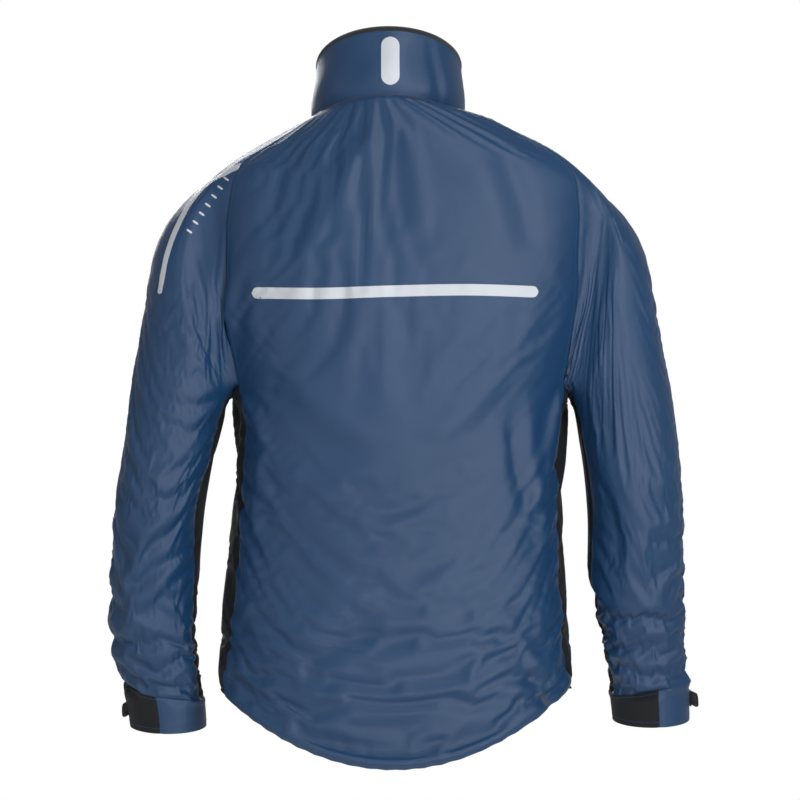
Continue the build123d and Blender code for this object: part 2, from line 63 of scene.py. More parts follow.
# ---------------------------------------------------------------- driving dimensions
CLOTH_WALL, THIN_WALL = 0.0011, 0.0008
ZIP_EDGE = 0.0085  # the fronts end this far from the zip's middle
ZIP_TOP, ZIP_FOOT = 0.010, -0.648
FRONT_TOP, FRONT_FOOT = -0.1057, -0.1439
LEAN = (FRONT_TOP - FRONT_FOOT) / (ZIP_TOP - ZIP_FOOT)

# The body's sections: height, tilt in degrees, half width left and right, back, squareness.
BODY = [
    (-0.760, 0.0, 0.198, 0.196, 0.116, 2.50),
    (-0.640, 0.0, 0.197, 0.194, 0.111, 2.50),
    (-0.560, 0.0, 0.190, 0.189, 0.105, 2.50),
    (-0.420, 0.0, 0.176, 0.183, 0.100, 2.50),
    (-0.330, 0.0, 0.174, 0.185, 0.104, 2.50),
    (-0.300, 0.0, 0.178, 0.188, 0.108, 2.50),
    (-0.250, 0.5, 0.190, 0.200, 0.112, 2.45),
    (-0.200, 1.5, 0.198, 0.210, 0.114, 2.40),
    (-0.160, 3.0, 0.201, 0.215, 0.113, 2.30),
    (-0.110, 6.0, 0.202, 0.220, 0.107, 2.20),
    (-0.072, 9.0, 0.197, 0.218, 0.100, 2.10),
    (-0.055, 11.0, 0.182, 0.202, 0.095, 2.00),
    (-0.042, 13.0, 0.160, 0.178, 0.090, 2.00),
    (-0.029, 15.0, 0.136, 0.150, 0.084, 2.00),
    (-0.017, 17.0, 0.108, 0.114, 0.078, 2.00),
    (-0.012, 18.3, 0.092, 0.077, 0.074, 2.00),
]
COLLAR_TOP = (0.057, 23.7, 0.087, 0.073, 0.066, 2.00)
ARMPIT, NECK = -0.300, -0.012
HEM_SIDE, HEM_TAIL, HEM_FRONT = -0.640, -0.726, -0.650
# The raglan seam's angle from the side, towards the back, by height.
RAGLAN = [
    (-0.300, 16.4), (-0.250, 19.0), (-0.200, 21.0), (-0.160, 22.5), (-0.110, 25.0),
    (-0.072, 30.0), (-0.055, 34.0), (-0.042, 36.0), (-0.029, 37.0), (-0.017, 34.0),
    (-0.012, 28.0),
]
# the left side's near-black panel reaches further back than the right one, laying painted shade where that side falls
# into deep shade
SIDE_SEAM_BACK = {"left": (16.4, 19.0), "right": (16.4, 9.0)}  # at the armpit and at the hem
SIDE_SEAM_FRONT = (-18.0, -25.0)

# Each sleeve by height: its middle's distance from x = 0 and its half width.
SLEEVE = {
    "left": [
        (-0.116, 0.197, 0.0600), (-0.173, 0.2115, 0.0600), (-0.252, 0.226, 0.0580), (-0.318, 0.240, 0.0560),
        (-0.371, 0.2505, 0.0520), (-0.437, 0.263, 0.0483), (-0.520, 0.268, 0.0480), (-0.595, 0.2663, 0.0472),
        (-0.648, 0.257, 0.0440), (-0.674, 0.2535, 0.0425), (-0.720, 0.252, 0.0410),
    ],
    "right": [
        (-0.116, 0.203, 0.0605), (-0.173, 0.2215, 0.0605), (-0.252, 0.2385, 0.0585), (-0.318, 0.2536, 0.0566),
        (-0.371, 0.263, 0.0540), (-0.437, 0.269, 0.0520), (-0.520, 0.2695, 0.0515), (-0.595, 0.277, 0.0465),
        (-0.648, 0.283, 0.0438), (-0.674, 0.285, 0.0425), (-0.720, 0.286, 0.0410),
    ],
}
# How far back the arm stands by height, and its half depth.
SLEEVE_DEPTH = [
    (-0.116, -0.005, 0.060), (-0.250, 0.001, 0.058), (-0.350, 0.006, 0.054), (-0.407, 0.007, 0.051),
    (-0.470, -0.003, 0.050), (-0.560, -0.022, 0.047), (-0.684, -0.050, 0.042), (-0.720, -0.057, 0.041),
]
CUFF_END = {"left": -0.684, "right": -0.677}  # the height of the cuff's middle
CUFF_BAND = 0.032
# how far each stitch line is from its edge
HEM_STITCH, SEAM_STITCH, ZIP_STITCH, COLLAR_STITCH, CUFF_STITCHES = 0.027, 0.0055, 0.006, (0.005, 0.006), (0.003, 0.006)
CUFF_TILT = 0.20  # the cuff's edge is lower at the back, across the forearm
RING_OUT, RING_IN = -0.172, -0.338  # heights where the shoulder has become a tube, outside and inside
HEAD_SMOOTHING = 3  # passes that even out the head of a sleeve
LEAVE_ALONG_CHORD = 0.25  # how far a sleeve leaves its seam straight towards the arm
PAINTED_SHADE_GUSSET_COLUMNS = 8  # the gusset takes this many of the columns under the arm; its near-black colour is painted shade for the shade under the arm
# the cloth simulation: the form's distance inside, the share of extra cloth, frames and the longest movement
FORM_GAP, EXTRA_CLOTH, FRAMES, QUICK_FRAMES, CAP = 0.006, 0.017, 16, 4, 0.012
SHOULDER_HOLD = 0.8  # the share of the movement that is taken away round the shoulders
POCKET_MIDDLE, POCKET_REACH = (0.118, -0.475), (0.055, 0.1)  # the front is held round each pocket
BACK_COLUMNS, FRONT_COLUMNS, SIDE_COLUMNS, NECK_COLUMNS = 48, 22, 12, 10
LOWER_ROWS, UPPER_ROWS = 44, 48
HEAD_ROWS, TUBE_ROWS = 26, 56


# ---------------------------------------------------------------- curves and grids
def unit(v):
    return v / np.maximum(np.linalg.norm(v, axis=-1, keepdims=True), 1e-9)


def run_along(points):
    """The distance along a line of points, at each of them."""
    return np.concatenate([[0], np.cumsum(np.linalg.norm(np.diff(points, axis=0), axis=1))])


def at_run(points, run, at):
    """Points at given distances along a line."""
    return np.stack([np.interp(at, run, points[:, k]) for k in range(points.shape[1])], -1)


def quads_of(rows, columns):
    """The four vertex numbers of each face of a grid."""
    number = np.arange(rows * columns).reshape(rows, columns)
    return np.stack([number[:-1, :-1], number[:-1, 1:], number[1:, 1:], number[1:, :-1]], -1).reshape(-1, 4)


def smooth(table, x, column=1):
    """A smooth curve through one column of a table, by its first column."""
    xs = np.array([row[0] for row in table])
    ys = np.array([row[column] for row in table])
    order = np.argsort(xs)
    xs, ys = xs[order], ys[order]
    slopes = np.gradient(ys, xs)
    x = np.clip(np.asarray(x, float), xs[0], xs[-1])
    i = np.clip(np.searchsorted(xs, x) - 1, 0, len(xs) - 2)
    width = xs[i + 1] - xs[i]
    t = (x - xs[i]) / width
    a, b = 2 * t**3 - 3 * t**2 + 1, t**3 - 2 * t**2 + t
    c, d = -2 * t**3 + 3 * t**2, t**3 - t**2
    return a * ys[i] + b * width * slopes[i] + c * ys[i + 1] + d * width * slopes[i + 1]


def ease(t):
    """0 to 1 with no slope at either end."""
    t = np.clip(t, 0, 1)
    return t * t * (3 - 2 * t)


def bump(x, width):
    """A soft bump of height 1 at x = 0."""
    return np.exp(-((x / width) ** 2))


# ---------------------------------------------------------------- body surface
def section(height, angle, values=None):
    """A point on the body's or collar's section; angle is from the left side towards the back, in degrees."""
    height, angle = np.broadcast_arrays(np.asarray(height, float), np.asarray(angle, float))
    if values is None:
        tilt, left, right, back, square = (smooth(BODY, height, i) for i in (1, 2, 3, 4, 5))
    else:
        tilt, left, right, back, square = values
    slope = np.tan(np.radians(tilt))
    front = (FRONT_TOP - (ZIP_TOP - height) * LEAN) / (1 - LEAN * slope)
    scale = np.cos(np.radians(tilt))
    middle_x, half = (left - right) / 2, (left + right) / 2
    middle, depth = (back + front) / 2 / scale, (back - front) / 2 / scale
    c, s = np.cos(np.radians(angle)), np.sin(np.radians(angle))
    x = middle_x + half * np.sign(c) * np.abs(c) ** (2 / square)
    y = middle + depth * np.sign(s) * np.abs(s) ** (2 / square)
    return np.stack([x, y * scale, height + y * np.sin(np.radians(tilt))], -1)


def zip_angle(height, sign):
    """The section's angle at the zip's edge on one side."""
    left, right, square = (float(smooth(BODY, height, i)) for i in (2, 3, 5))
    c = (sign * ZIP_EDGE - (left - right) / 2) / ((left + right) / 2)
    angle = math.degrees(math.acos(abs(c) ** (square / 2)))
    return -angle if c >= 0 else -(180 - angle)


def hem_height(angle):
    """The hem's height: an arc at the back and nearly level in front."""
    x = np.abs(np.cos(np.radians(angle))) ** 0.8
    low = np.where(np.sin(np.radians(angle)) > 0, HEM_TAIL, HEM_FRONT)
    return HEM_SIDE + (low - HEM_SIDE) * (1 - x**2)


def spread(height, first, last, count, lower=None):
    """Points evenly spaced along a section between two angles."""
    angles = np.linspace(first, last, 1601)
    heights = np.full_like(angles, height)
    if lower is not None:
        heights = hem_height(angles) + (ARMPIT - hem_height(angles)) * lower
    points = section(heights, angles)
    run = run_along(points)
    return at_run(points, run, np.linspace(0, run[-1], count + 1))


# ---------------------------------------------------------------- one welded grid mesh
class Cloth:
    """The whole garment as one welded mesh, with a panel name for each face."""

    def __init__(self):
        self.points, self.faces, self.panels = [], [], []
        self.grids = {}

    def add(self, point):
        self.points.append(point)
        return len(self.points) - 1

    def rows(self, name, grid, flip):
        """Faces for a grid of vertex numbers, rows upwards or onwards."""
        self.grids[name] = np.array(grid)
        for low, high in zip(grid[:-1], grid[1:]):
            for i in range(len(low) - 1):
                face = [low[i], low[i + 1], high[i + 1], high[i]]
                self.faces.append(face[::-1] if flip else face)
                self.panels.append(name)


def seam_angles(height, lower, side):
    """The angles of one side seam, or of the raglan seams above the armpit, as if on the left side."""
    if lower is not None:
        top, foot = SIDE_SEAM_BACK[side]
        back = foot + (top - foot) * lower
        front = SIDE_SEAM_FRONT[1] + (SIDE_SEAM_FRONT[0] - SIDE_SEAM_FRONT[1]) * lower
        return back, front
    raglan = float(smooth(RAGLAN, height))
    return raglan, -raglan * 1.08


def build_body(cloth):
    """The back, the fronts and the sides; hands back each row's seam points."""
    levels = [(None, t) for t in np.linspace(0, 1, LOWER_ROWS + 1)]
    rise = np.linspace(0, 1, UPPER_ROWS + 1)[1:]
    knots = np.array([ARMPIT, -0.200, -0.110, -0.072, NECK])
    share = np.array([0, 0.27, 0.50, 0.62, 1.0])
    levels += [(float(np.interp(t, share, knots)), None) for t in rise]
    grids = {name: [] for name in ("back", "left_front", "right_front", "left_side", "right_side")}
    for height, lower in levels:
        upper = height is not None
        at = height if upper else ARMPIT + (1 - lower) * (HEM_FRONT - ARMPIT)
        seams = {side: seam_angles(height, lower, side) for side in SIDES}
        where = height if upper else 0.0
        a = {"left": seams["left"][0], "right": 180 - seams["right"][0]}
        f = {"left": seams["left"][1], "right": -180 - seams["right"][1]}
        zips = {side: zip_angle(at, sign) for side, sign in SIDES.items()}
        ids = [cloth.add(p) for p in spread(where, a["right"], a["left"], BACK_COLUMNS, lower)]
        grids["back"].append(ids)
        seam = {"right": ids[0], "left": ids[-1]}
        for side in SIDES:
            front_ids = [cloth.add(p) for p in spread(where, f[side], zips[side], FRONT_COLUMNS, lower)]
            grids[f"{side}_front"].append(front_ids)
            if not upper:
                near = a[side] if side == "left" else -180 - seams[side][0]
                strip = spread(where, f[side], near, SIDE_COLUMNS, lower)
                inner = [cloth.add(p) for p in strip[1:-1]]
                grids[f"{side}_side"].append([front_ids[0], *inner, seam[side]])
    for name, grid in grids.items():
        cloth.rows(name, grid, name in ("back", "left_front", "right_side"))
    return grids


def sleeve_point(side, angle, height):
    """A point on a sleeve's tube; angle is from outboard towards the back, in degrees."""
    sign = SIDES[side]
    c, s = np.cos(np.radians(angle)), np.sin(np.radians(angle))
    x = smooth(SLEEVE[side], height, 1) + smooth(SLEEVE[side], height, 2) * c
    y = smooth(SLEEVE_DEPTH, height, 1) + smooth(SLEEVE_DEPTH, height, 2) * s
    return np.stack([sign * x, y, np.broadcast_to(height, x.shape)], -1)


def build_sleeve(cloth, side, grids):
    """A raglan sleeve from its seam on the body to the cuff's edge."""
    sign = SIDES[side]
    column = -1 if side == "left" else 0
    armpit = grids[f"{side}_side"][-1]
    raglan_back = [row[column] for row in grids["back"][LOWER_ROWS:]]
    raglan_front = [row[0] for row in grids[f"{side}_front"][LOWER_ROWS:]]
    top_back, top_front = seam_angles(NECK, None, side)
    first, last = (top_back, top_front) if side == "left" else (180 - top_back, 180 - top_front)
    arc = spread(NECK, first, last, NECK_COLUMNS)
    neck = [cloth.add(p) for p in arc[1:-1]]
    loop = [*armpit, *raglan_back[1:], *neck, *raglan_front[:0:-1]]
    points = np.array([cloth.points[i] for i in loop])
    count = len(loop)

    # the direction in which the sleeve leaves its seam, evened out round the armhole
    parts = [len(armpit), len(raglan_back) - 1, len(neck), len(raglan_front) - 1]
    ends = np.cumsum(parts)
    leave = np.zeros((count, 3))
    leave[: ends[0]] = (sign * 0.9, 0, -0.45)
    for k in range(ends[0], count):
        if k < ends[1]:
            row = LOWER_ROWS + 1 + k - ends[0]
            inner = grids["back"][row][-2 if side == "left" else 1]
            leave[k] = points[k] - cloth.points[inner]
        elif k < ends[2]:
            leave[k] = (sign * 0.86, 0, -0.5)
        else:
            row = LOWER_ROWS + len(raglan_front) - 1 - (k - ends[2])
            leave[k] = points[k] - cloth.points[grids[f"{side}_front"][row][1]]
    leave = unit(leave)
    for _ in range(6):
        leave = unit(leave + 0.5 * (np.roll(leave, 1, 0) + np.roll(leave, -1, 0)))

    # each column's angle round the arm
    angle = np.zeros(count)
    angle[: ends[0]] = np.linspace(218, 142, ends[0])
    climb = (np.arange(parts[1]) + 1) / parts[1]
    angle[ends[0] : ends[1]] = 142 - 120 * climb**0.9
    angle[ends[1] : ends[2]] = np.linspace(22, -22, parts[2] + 2)[1:-1]
    climb = 1 - np.arange(parts[3]) / parts[3]
    angle[ends[2] :] = -142 + 120 * climb**0.9
    inward = (1 - np.cos(np.radians(angle))) / 2
    ring_height = RING_OUT + (RING_IN - RING_OUT) * inward
    ring = sleeve_point(side, angle, ring_height)
    ahead = unit(sleeve_point(side, angle, ring_height - 0.004) - ring)
    chord = unit(ring - points)
    share = np.where(np.arange(count) < ends[0], 0.0, LEAVE_ALONG_CHORD)[:, None]
    leave = unit((1 - share) * leave + share * chord)
    reach = np.linalg.norm(ring - points, axis=1, keepdims=True) * (1.2 - 0.3 * inward[:, None])

    rows = [points]
    for t in np.linspace(0, 1, HEAD_ROWS + 1)[1:]:
        a, b = 2 * t**3 - 3 * t**2 + 1, t**3 - 2 * t**2 + t
        c, d = -2 * t**3 + 3 * t**2, t**3 - t**2
        rows.append(a * points + b * reach * leave + c * ring + d * reach * ahead)
    end = CUFF_END[side] - CUFF_TILT * 0.042 * np.sin(np.radians(angle))
    for t in np.linspace(0, 1, TUBE_ROWS + 1)[1:]:
        rows.append(sleeve_point(side, angle, ring_height + (end - ring_height) * t))
    rows, eased = np.array(rows), HEAD_ROWS + 3
    for _ in range(HEAD_SMOOTHING):
        sides = np.roll(rows, 1, 1) + np.roll(rows, -1, 1)
        near = rows[:-2] + rows[2:] + sides[1:-1]
        rows[1 : eased + 1] = (rows[1:-1] * 0.5 + near * 0.125)[:eased]
    grid = [loop, *[[cloth.add(p) for p in row] for row in rows[1:]]]
    cloth.rows(f"{side}_sleeve", [[*row, row[0]] for row in grid], side == "right")
    cloth.grids[f"{side}_angles"] = np.append(angle, angle[0])


def build_cloth():
    """The body and both sleeves as one welded mesh."""
    cloth = Cloth()
    grids = build_body(cloth)
    for side in SIDES:
        build_sleeve(cloth, side, grids)
    cloth.points = np.array(cloth.points)
    return cloth


def normals_of(points, faces):
    """Outward vertex normals of a quad mesh."""
    quads = np.array(faces)
    cross = np.cross(points[quads[:, 2]] - points[quads[:, 0]], points[quads[:, 3]] - points[quads[:, 1]])
    total = np.zeros_like(points)
    for k in range(4):
        np.add.at(total, quads[:, k], cross)
    return unit(total)


def drape(cloth):
    """Simulates the garment's extra cloth over a slightly smaller form, pinned at its firm edges."""
    points = cloth.points
    outward = normals_of(points, cloth.faces)
    mesh = bpy.data.meshes.new("draping")
    mesh.from_pydata(points.tolist(), [], cloth.faces)
    draped = bpy.data.objects.new("draping", mesh)
    form_mesh = bpy.data.meshes.new("form")
    form_mesh.from_pydata((points - FORM_GAP * outward).tolist(), [], cloth.faces)
    form = bpy.data.objects.new("form", form_mesh)
    for o in (draped, form):
        bpy.context.scene.collection.objects.link(o)
    form.modifiers.new("collision", "COLLISION")
    form.collision.thickness_outer = 0.001
    form.collision.cloth_friction = 5

    pinned = np.zeros(len(points))
    top = [cloth.grids[n][-1] for n in ("back", "left_front", "right_front")]
    for ids in (*top, cloth.grids["left_front"][:, -1], cloth.grids["right_front"][:, -1]):
        pinned[ids] = 1
    for name in ("left_front", "right_front"):
        pinned[cloth.grids[name][0]] = 0.6
        pinned[cloth.grids[name][:, -2]] = 1
    for name in ("left_sleeve", "right_sleeve"):
        pinned[cloth.grids[name][-5:].ravel()] = 1
    pinned[cloth.grids["back"][0]] = 0.85
    beside = np.abs(np.abs(points[:, 0]) - POCKET_MIDDLE[0]) < POCKET_REACH[0]
    level = np.abs(points[:, 2] - POCKET_MIDDLE[1]) < POCKET_REACH[1]
    pinned[(points[:, 1] < 0) & beside & level] = 1
    group = draped.vertex_groups.new(name="pins")
    for value in np.unique(pinned[pinned > 0]):
        group.add([int(i) for i in np.nonzero(pinned == value)[0]], float(value), "REPLACE")

    modifier = draped.modifiers.new("cloth", "CLOTH")
    settings = modifier.settings
    settings.quality = 5
    settings.mass = 0.12
    settings.air_damping = 2
    settings.tension_stiffness = settings.compression_stiffness = 18
    settings.shear_stiffness = 4
    settings.bending_stiffness = 0.12
    settings.tension_damping = settings.compression_damping = settings.shear_damping = 5
    settings.shrink_min = -EXTRA_CLOTH
    settings.vertex_group_mass = "pins"
    settings.effector_weights.gravity = 0.4
    modifier.collision_settings.distance_min = 0.001
    modifier.collision_settings.use_self_collision = False
    frames = FRAMES
    modifier.point_cache.frame_start, modifier.point_cache.frame_end = 1, frames + 1
    scene = bpy.context.scene
    for number in range(1, frames + 1):
        scene.frame_set(number)
    graph = bpy.context.evaluated_depsgraph_get()
    result = draped.evaluated_get(graph).to_mesh()
    moved = np.empty(len(points) * 3)
    result.vertices.foreach_get("co", moved)
    moved = moved.reshape(-1, 3) - points
    draped.evaluated_get(graph).to_mesh_clear()
    length = np.linalg.norm(moved, axis=1, keepdims=True)
    moved *= np.minimum(1, CAP / np.maximum(length, 1e-9))
    shoulder = ease((points[:, 2] + 0.22) / 0.07) * ease((np.abs(points[:, 0]) - 0.12) / 0.06)
    moved *= 1 - SHOULDER_HOLD * shoulder[:, None]
    scene.frame_set(1)
    for o in (draped, form):
        bpy.data.objects.remove(o)
    return points + moved


# ---------------------------------------------------------------- fine surfaces from the draped grids
def along(grid, at):
    """Catmull-Rom values along the first axis of a grid, at fractional positions."""
    grid = np.asarray(grid, float)
    last = len(grid) - 1
    padded = np.concatenate([2 * grid[:1] - grid[1:2], grid, 2 * grid[-1:] - grid[-2:-1]])
    at = np.clip(np.asarray(at, float), 0, last)
    i = np.minimum(at.astype(int), last - 1)
    t = (at - i).reshape(-1, *[1] * (grid.ndim - 1))
    a, b, c, d = (padded[i + k] for k in range(4))
    return 0.5 * (2 * b + (c - a) * t + (2 * a - 5 * b + 4 * c - d) * t**2 + (3 * b - a - 3 * c + d) * t**3)


def patch(grid, rows, columns):
    """A grid of points refined to fractional rows and columns."""
    return along(along(grid, rows).swapaxes(0, 1), columns).swapaxes(0, 1)


def fine(first, last, step=0.5, low=True, high=True):
    """Positions from first to last, closer together beside a seam."""
    inner = np.arange(math.ceil(first / step + 0.4) * step, last - step * 0.4, step)
    ends = np.array([first, first + 0.16, first + 0.36]) if low else np.array([first])
    tops = np.array([last - 0.36, last - 0.16, last]) if high else np.array([last])
    middle = inner[(inner > ends[-1] + 0.1) & (inner < tops[0] - 0.1)]
    return np.concatenate([ends, middle, tops])


def grid_normals(points, outward):
    """Unit normals of a grid of points, on the side that outward points to."""
    n = unit(np.cross(np.gradient(points, axis=1), np.gradient(points, axis=0)))
    return n if (n * outward).sum() > 0 else -n


def run_from(points, axis, end):
    """Each point's distance from one edge of its grid, in metres."""
    steps = np.linalg.norm(np.diff(points, axis=axis), axis=-1)
    total = np.cumsum(steps, axis=axis)
    zero = np.zeros_like(np.take(total, [0], axis=axis))
    total = np.concatenate([zero, total], axis=axis)
    return total if end == "low" else np.take(total, [-1], axis=axis) - total


def away(points):
    """Directions away from the jacket's middle line, for a grid on the body."""
    flat = points.copy()
    flat[..., 1] += 0.01
    flat[..., 2] = 0.02
    return flat


def sink(points, normals, edges, depth=0.0011, width=0.0032):
    """Pulls the cloth in at its sewn edges, so that seams read as lines."""
    drop = np.zeros(points.shape[:2])
    for axis, end in edges:
        drop = np.maximum(drop, depth * bump(run_from(points, axis, end), width))
    return points - normals * drop[..., None]


def pucker(points, normals, distance, depth=0.0008, wave=0.0165, width=0.007, seed=0.0):
    """Small gathers along a stitch line that runs a distance above the grid's first row."""
    above = run_from(points, 0, "low")
    side = run_from(points, 1, "low")
    turn = 2 * math.pi * side / wave + 2.2 * np.sin(side * 37 + seed) + 1.3 * np.sin(side * 81 + seed)
    size = 0.55 + 0.45 * np.sin(side * 23 + 1.7 * seed)
    return points + normals * (depth * size * np.sin(turn) * bump(above - distance, width))[..., None]


def crease(points, start, end, width, depth, bow):
    """How far a fold seen from behind lifts each point: a soft ridge, or a valley if depth is negative."""
    a, b = np.array(start), np.array(end)
    flat = points[..., [0, 2]]
    line = b - a
    length = np.linalg.norm(line)
    along_line = ((flat - a) @ line) / length**2
    across_line = ((flat - a) @ np.array([-line[1], line[0]])) / length
    across_line = across_line - bow * 4 * along_line * (1 - along_line)
    fade = ease(along_line / 0.25) * ease((1 - along_line) / 0.25)
    ridge = bump(across_line, width) - 0.45 * bump(across_line - 2.0 * width, 1.3 * width)
    return depth * fade * ridge


# Folds that the photograph shows on the back: start, end, width, depth and bow.
BACK_FOLDS = [
    ((0.010, -0.010), (0.095, -0.185), 0.013, 0.0040, 0.010),
    ((-0.006, -0.015), (-0.030, -0.150), 0.012, 0.0022, -0.006),
    ((0.100, -0.035), (0.140, -0.150), 0.016, -0.0034, 0.008),
    ((-0.110, -0.040), (-0.150, -0.170), 0.015, -0.0034, -0.008),
    ((-0.150, -0.310), (-0.176, -0.500), 0.010, 0.0034, 0.010),
    ((-0.128, -0.330), (-0.160, -0.470), 0.008, -0.0026, 0.008),
    ((0.150, -0.320), (0.165, -0.480), 0.010, 0.0026, -0.008),
    ((0.120, -0.270), (0.010, -0.370), 0.016, 0.0024, 0.020),
    ((-0.120, -0.270), (-0.020, -0.365), 0.016, 0.0024, -0.020),
    ((0.011, -0.560), (0.126, -0.655), 0.016, -0.0030, 0.010),
    ((-0.110, -0.540), (-0.180, -0.640), 0.008, 0.0024, 0.004),
    ((-0.135, -0.600), (-0.185, -0.675), 0.007, -0.0022, 0.004),
]


# ---------------------------------------------------------------- materials
def srgb(r, g, b):
    """A colour as nodes want it, from 0 to 255 values."""
    return tuple((c / 255 / 12.92) if c <= 10 else ((c / 255 + 0.055) / 1.055) ** 2.4 for c in (r, g, b)) + (1.0,)


def material(name, colour, roughness, weave=0.0, scale=1500.0, bumps=0.0, bump_scale=80.0, vary=0.12, **shader):
    """A cloth, tape, plastic or metal: its colour varies, it has a weave and a fine unevenness."""
    m = bpy.data.materials.new(name)
    m.use_nodes = True
    nodes, links = m.node_tree.nodes, m.node_tree.links
    main = nodes["Principled BSDF"]
    main.inputs["Roughness"].default_value = roughness
    for key, value in shader.items():
        main.inputs[key.replace("_", " ").title().replace("Ior", "IOR")].default_value = value
    where = nodes.new("ShaderNodeTexCoord")

    def add(kind, source=None, **values):
        """A node with its values set; a texture is fed from the object's coordinates."""
        made = nodes.new(f"ShaderNode{kind}")
        for key, value in values.items():
            made.inputs[key].default_value = value
        if kind.startswith("Tex"):
            links.new(where.outputs["Object"], made.inputs["Vector"])
        if source is not None:
            links.new(source, made.inputs[0])
        return made

    cloud = add("TexNoise", Scale=7.0, Detail=5.0)
    ramp = add("ValToRGB", cloud.outputs["Fac"])
    low, high = ramp.color_ramp.elements
    low.position, low.color = 0.3, [c * (1 - vary) for c in colour[:3]] + [1]
    high.position, high.color = 0.7, [min(1, c * (1 + vary)) for c in colour[:3]] + [1]
    links.new(ramp.outputs["Color"], main.inputs["Base Color"])
    height = None
    if weave:
        bands = []
        for direction in ("X", "Z"):
            bands.append(add("TexWave", Scale=scale / 20, Distortion=0.4))
            bands[-1].wave_type, bands[-1].bands_direction = "BANDS", direction
        first = add("Math", bands[0].outputs["Fac"])
        first.operation = "MAXIMUM"
        links.new(bands[1].outputs["Fac"], first.inputs[1])
        second = add("Math", first.outputs[0])
        second.operation = "MULTIPLY"
        second.inputs[1].default_value = weave
        height = second.outputs[0]
    if bumps:
        crinkle = add("TexNoise", Scale=bump_scale, Detail=4.0, Roughness=0.55)
        grow = add("Math", crinkle.outputs["Fac"])
        grow.operation = "MULTIPLY_ADD"
        grow.inputs[1].default_value = bumps
        if height is not None:
            links.new(height, grow.inputs[2])
        height = grow.outputs[0]
    if height is not None:
        relief = add("Bump", Strength=0.6, Distance=0.001)
        links.new(height, relief.inputs["Height"])
        links.new(relief.outputs["Normal"], main.inputs["Normal"])
    return m


MATERIALS = {
    "shell_nylon": material(
        "shell_nylon", srgb(15, 58, 97), 0.37, weave=0.10, scale=26000, bumps=0.55, bump_scale=45,
        vary=0.05, sheen_weight=0.05, sheen_roughness=0.4, specular_ior_level=0.55,
    ),
    # near-black stretch cloth for the strap tabs and the dark cuff halves; on the sleeve gussets and the side panels
    # this dark colour is painted shade, standing in for the shade under the arms and along the sides
    "dark_stretch": material(
        "dark_stretch", srgb(7, 11, 19), 0.6, weave=0.4, scale=18000, bumps=0.3, bump_scale=120, sheen_weight=0.03,
        specular_ior_level=0.35,
    ),
    "reflective_film": material(
        "reflective_film", srgb(205, 209, 216), 0.34, weave=0.15, scale=30000, bumps=0.1, bump_scale=300,
        vary=0.03, metallic=0.25,
    ),
    "black_tape": material("black_tape", srgb(22, 23, 26), 0.75, weave=0.8, scale=12000, sheen_weight=0.2),
    "zip_coil": material("zip_coil", srgb(30, 31, 34), 0.38, bumps=0.15, bump_scale=600),
    "zip_metal": material(
        "zip_metal", srgb(120, 122, 126), 0.32, bumps=0.12, bump_scale=500, vary=0.1, metallic=1.0
    ),
    "moulded_grip": material("moulded_grip", srgb(18, 19, 22), 0.5, bumps=0.4, bump_scale=700),
    "mesh_lining": material("mesh_lining", srgb(40, 52, 70), 0.8, weave=1.6, scale=4200, bumps=0.2),
    "brushed_lining": material(
        "brushed_lining", srgb(30, 38, 52), 0.95, bumps=1.0, bump_scale=900, sheen_weight=0.6, sheen_roughness=0.6
    ),
    "loop_pile": material("loop_pile", srgb(16, 17, 19), 0.95, bumps=1.8, bump_scale=1400, sheen_weight=0.4),
    "woven_label": material("woven_label", srgb(196, 198, 200), 0.7, weave=0.6, scale=14000),
    "inner_face": material("inner_face", srgb(62, 74, 92), 0.55, weave=0.25, scale=20000, bumps=0.3, bump_scale=60),
    "thread": material("thread", srgb(52, 88, 128), 0.6, bumps=0.3, bump_scale=2000),
    "grey_print": material("grey_print", srgb(60, 64, 72), 0.5, bumps=0.1, bump_scale=500),
    "red_print": material("red_print", srgb(120, 26, 30), 0.5, bumps=0.1, bump_scale=500),
}


# ---------------------------------------------------------------- making pieces
def make(name, points, faces, surfaces, which=None):
    """A smooth-shaded piece from points and faces, with one or more materials."""
    mesh = bpy.data.meshes.new(name)
    mesh.from_pydata(np.asarray(points).tolist(), [], faces)
    for surface in surfaces:
        mesh.materials.append(MATERIALS[surface])
    if which is not None:
        mesh.polygons.foreach_set("material_index", which)
    mesh.polygons.foreach_set("use_smooth", [True] * len(mesh.polygons))
    mesh.update()
    obj = bpy.data.objects.new(name, mesh)
    bpy.context.scene.collection.objects.link(obj)
    return obj


def shell(name, outer, normals, surfaces, wall=CLOTH_WALL):
    """A grid of points as thin closed cloth: its face, its back and its edges."""
    rows, columns = outer.shape[:2]
    inner = outer - normals * wall
    points = np.concatenate([outer.reshape(-1, 3), inner.reshape(-1, 3)])
    number = np.arange(rows * columns).reshape(rows, columns)
    face = quads_of(rows, columns)
    probe = np.cross(outer[1:, 1:] - outer[:-1, :-1], outer[1:, :-1] - outer[:-1, 1:])
    flipped = (probe * normals[:-1, :-1]).sum() < 0
    if flipped:
        face = face[:, ::-1]
    shift = rows * columns
    back = face[:, ::-1] + shift
    edge = [int(i) for i in (*number[0, :], *number[1:, -1], *number[-1, -2::-1], *number[-2:0:-1, 0])]
    pairs = list(zip(edge, [*edge[1:], edge[0]]))
    rim = [[i, j, j + shift, i + shift][:: 1 if flipped else -1] for i, j in pairs]
    faces = [*face.tolist(), *back.tolist(), *rim]
    which = [0] * len(face) + [len(surfaces) - 1] * len(back) + [0] * len(rim)
    obj = make(name, points, faces, surfaces, which)
    lines = {frozenset(pair) for pair in pairs}
    lines |= {frozenset((i + shift, j + shift)) for i, j in map(tuple, lines)}
    keys = np.empty(len(obj.data.edges) * 2, int)
    obj.data.edges.foreach_get("vertices", keys)
    sharp = [frozenset(pair) in lines for pair in keys.reshape(-1, 2).tolist()]
    obj.data.edges.foreach_set("use_edge_sharp", sharp)
    return obj


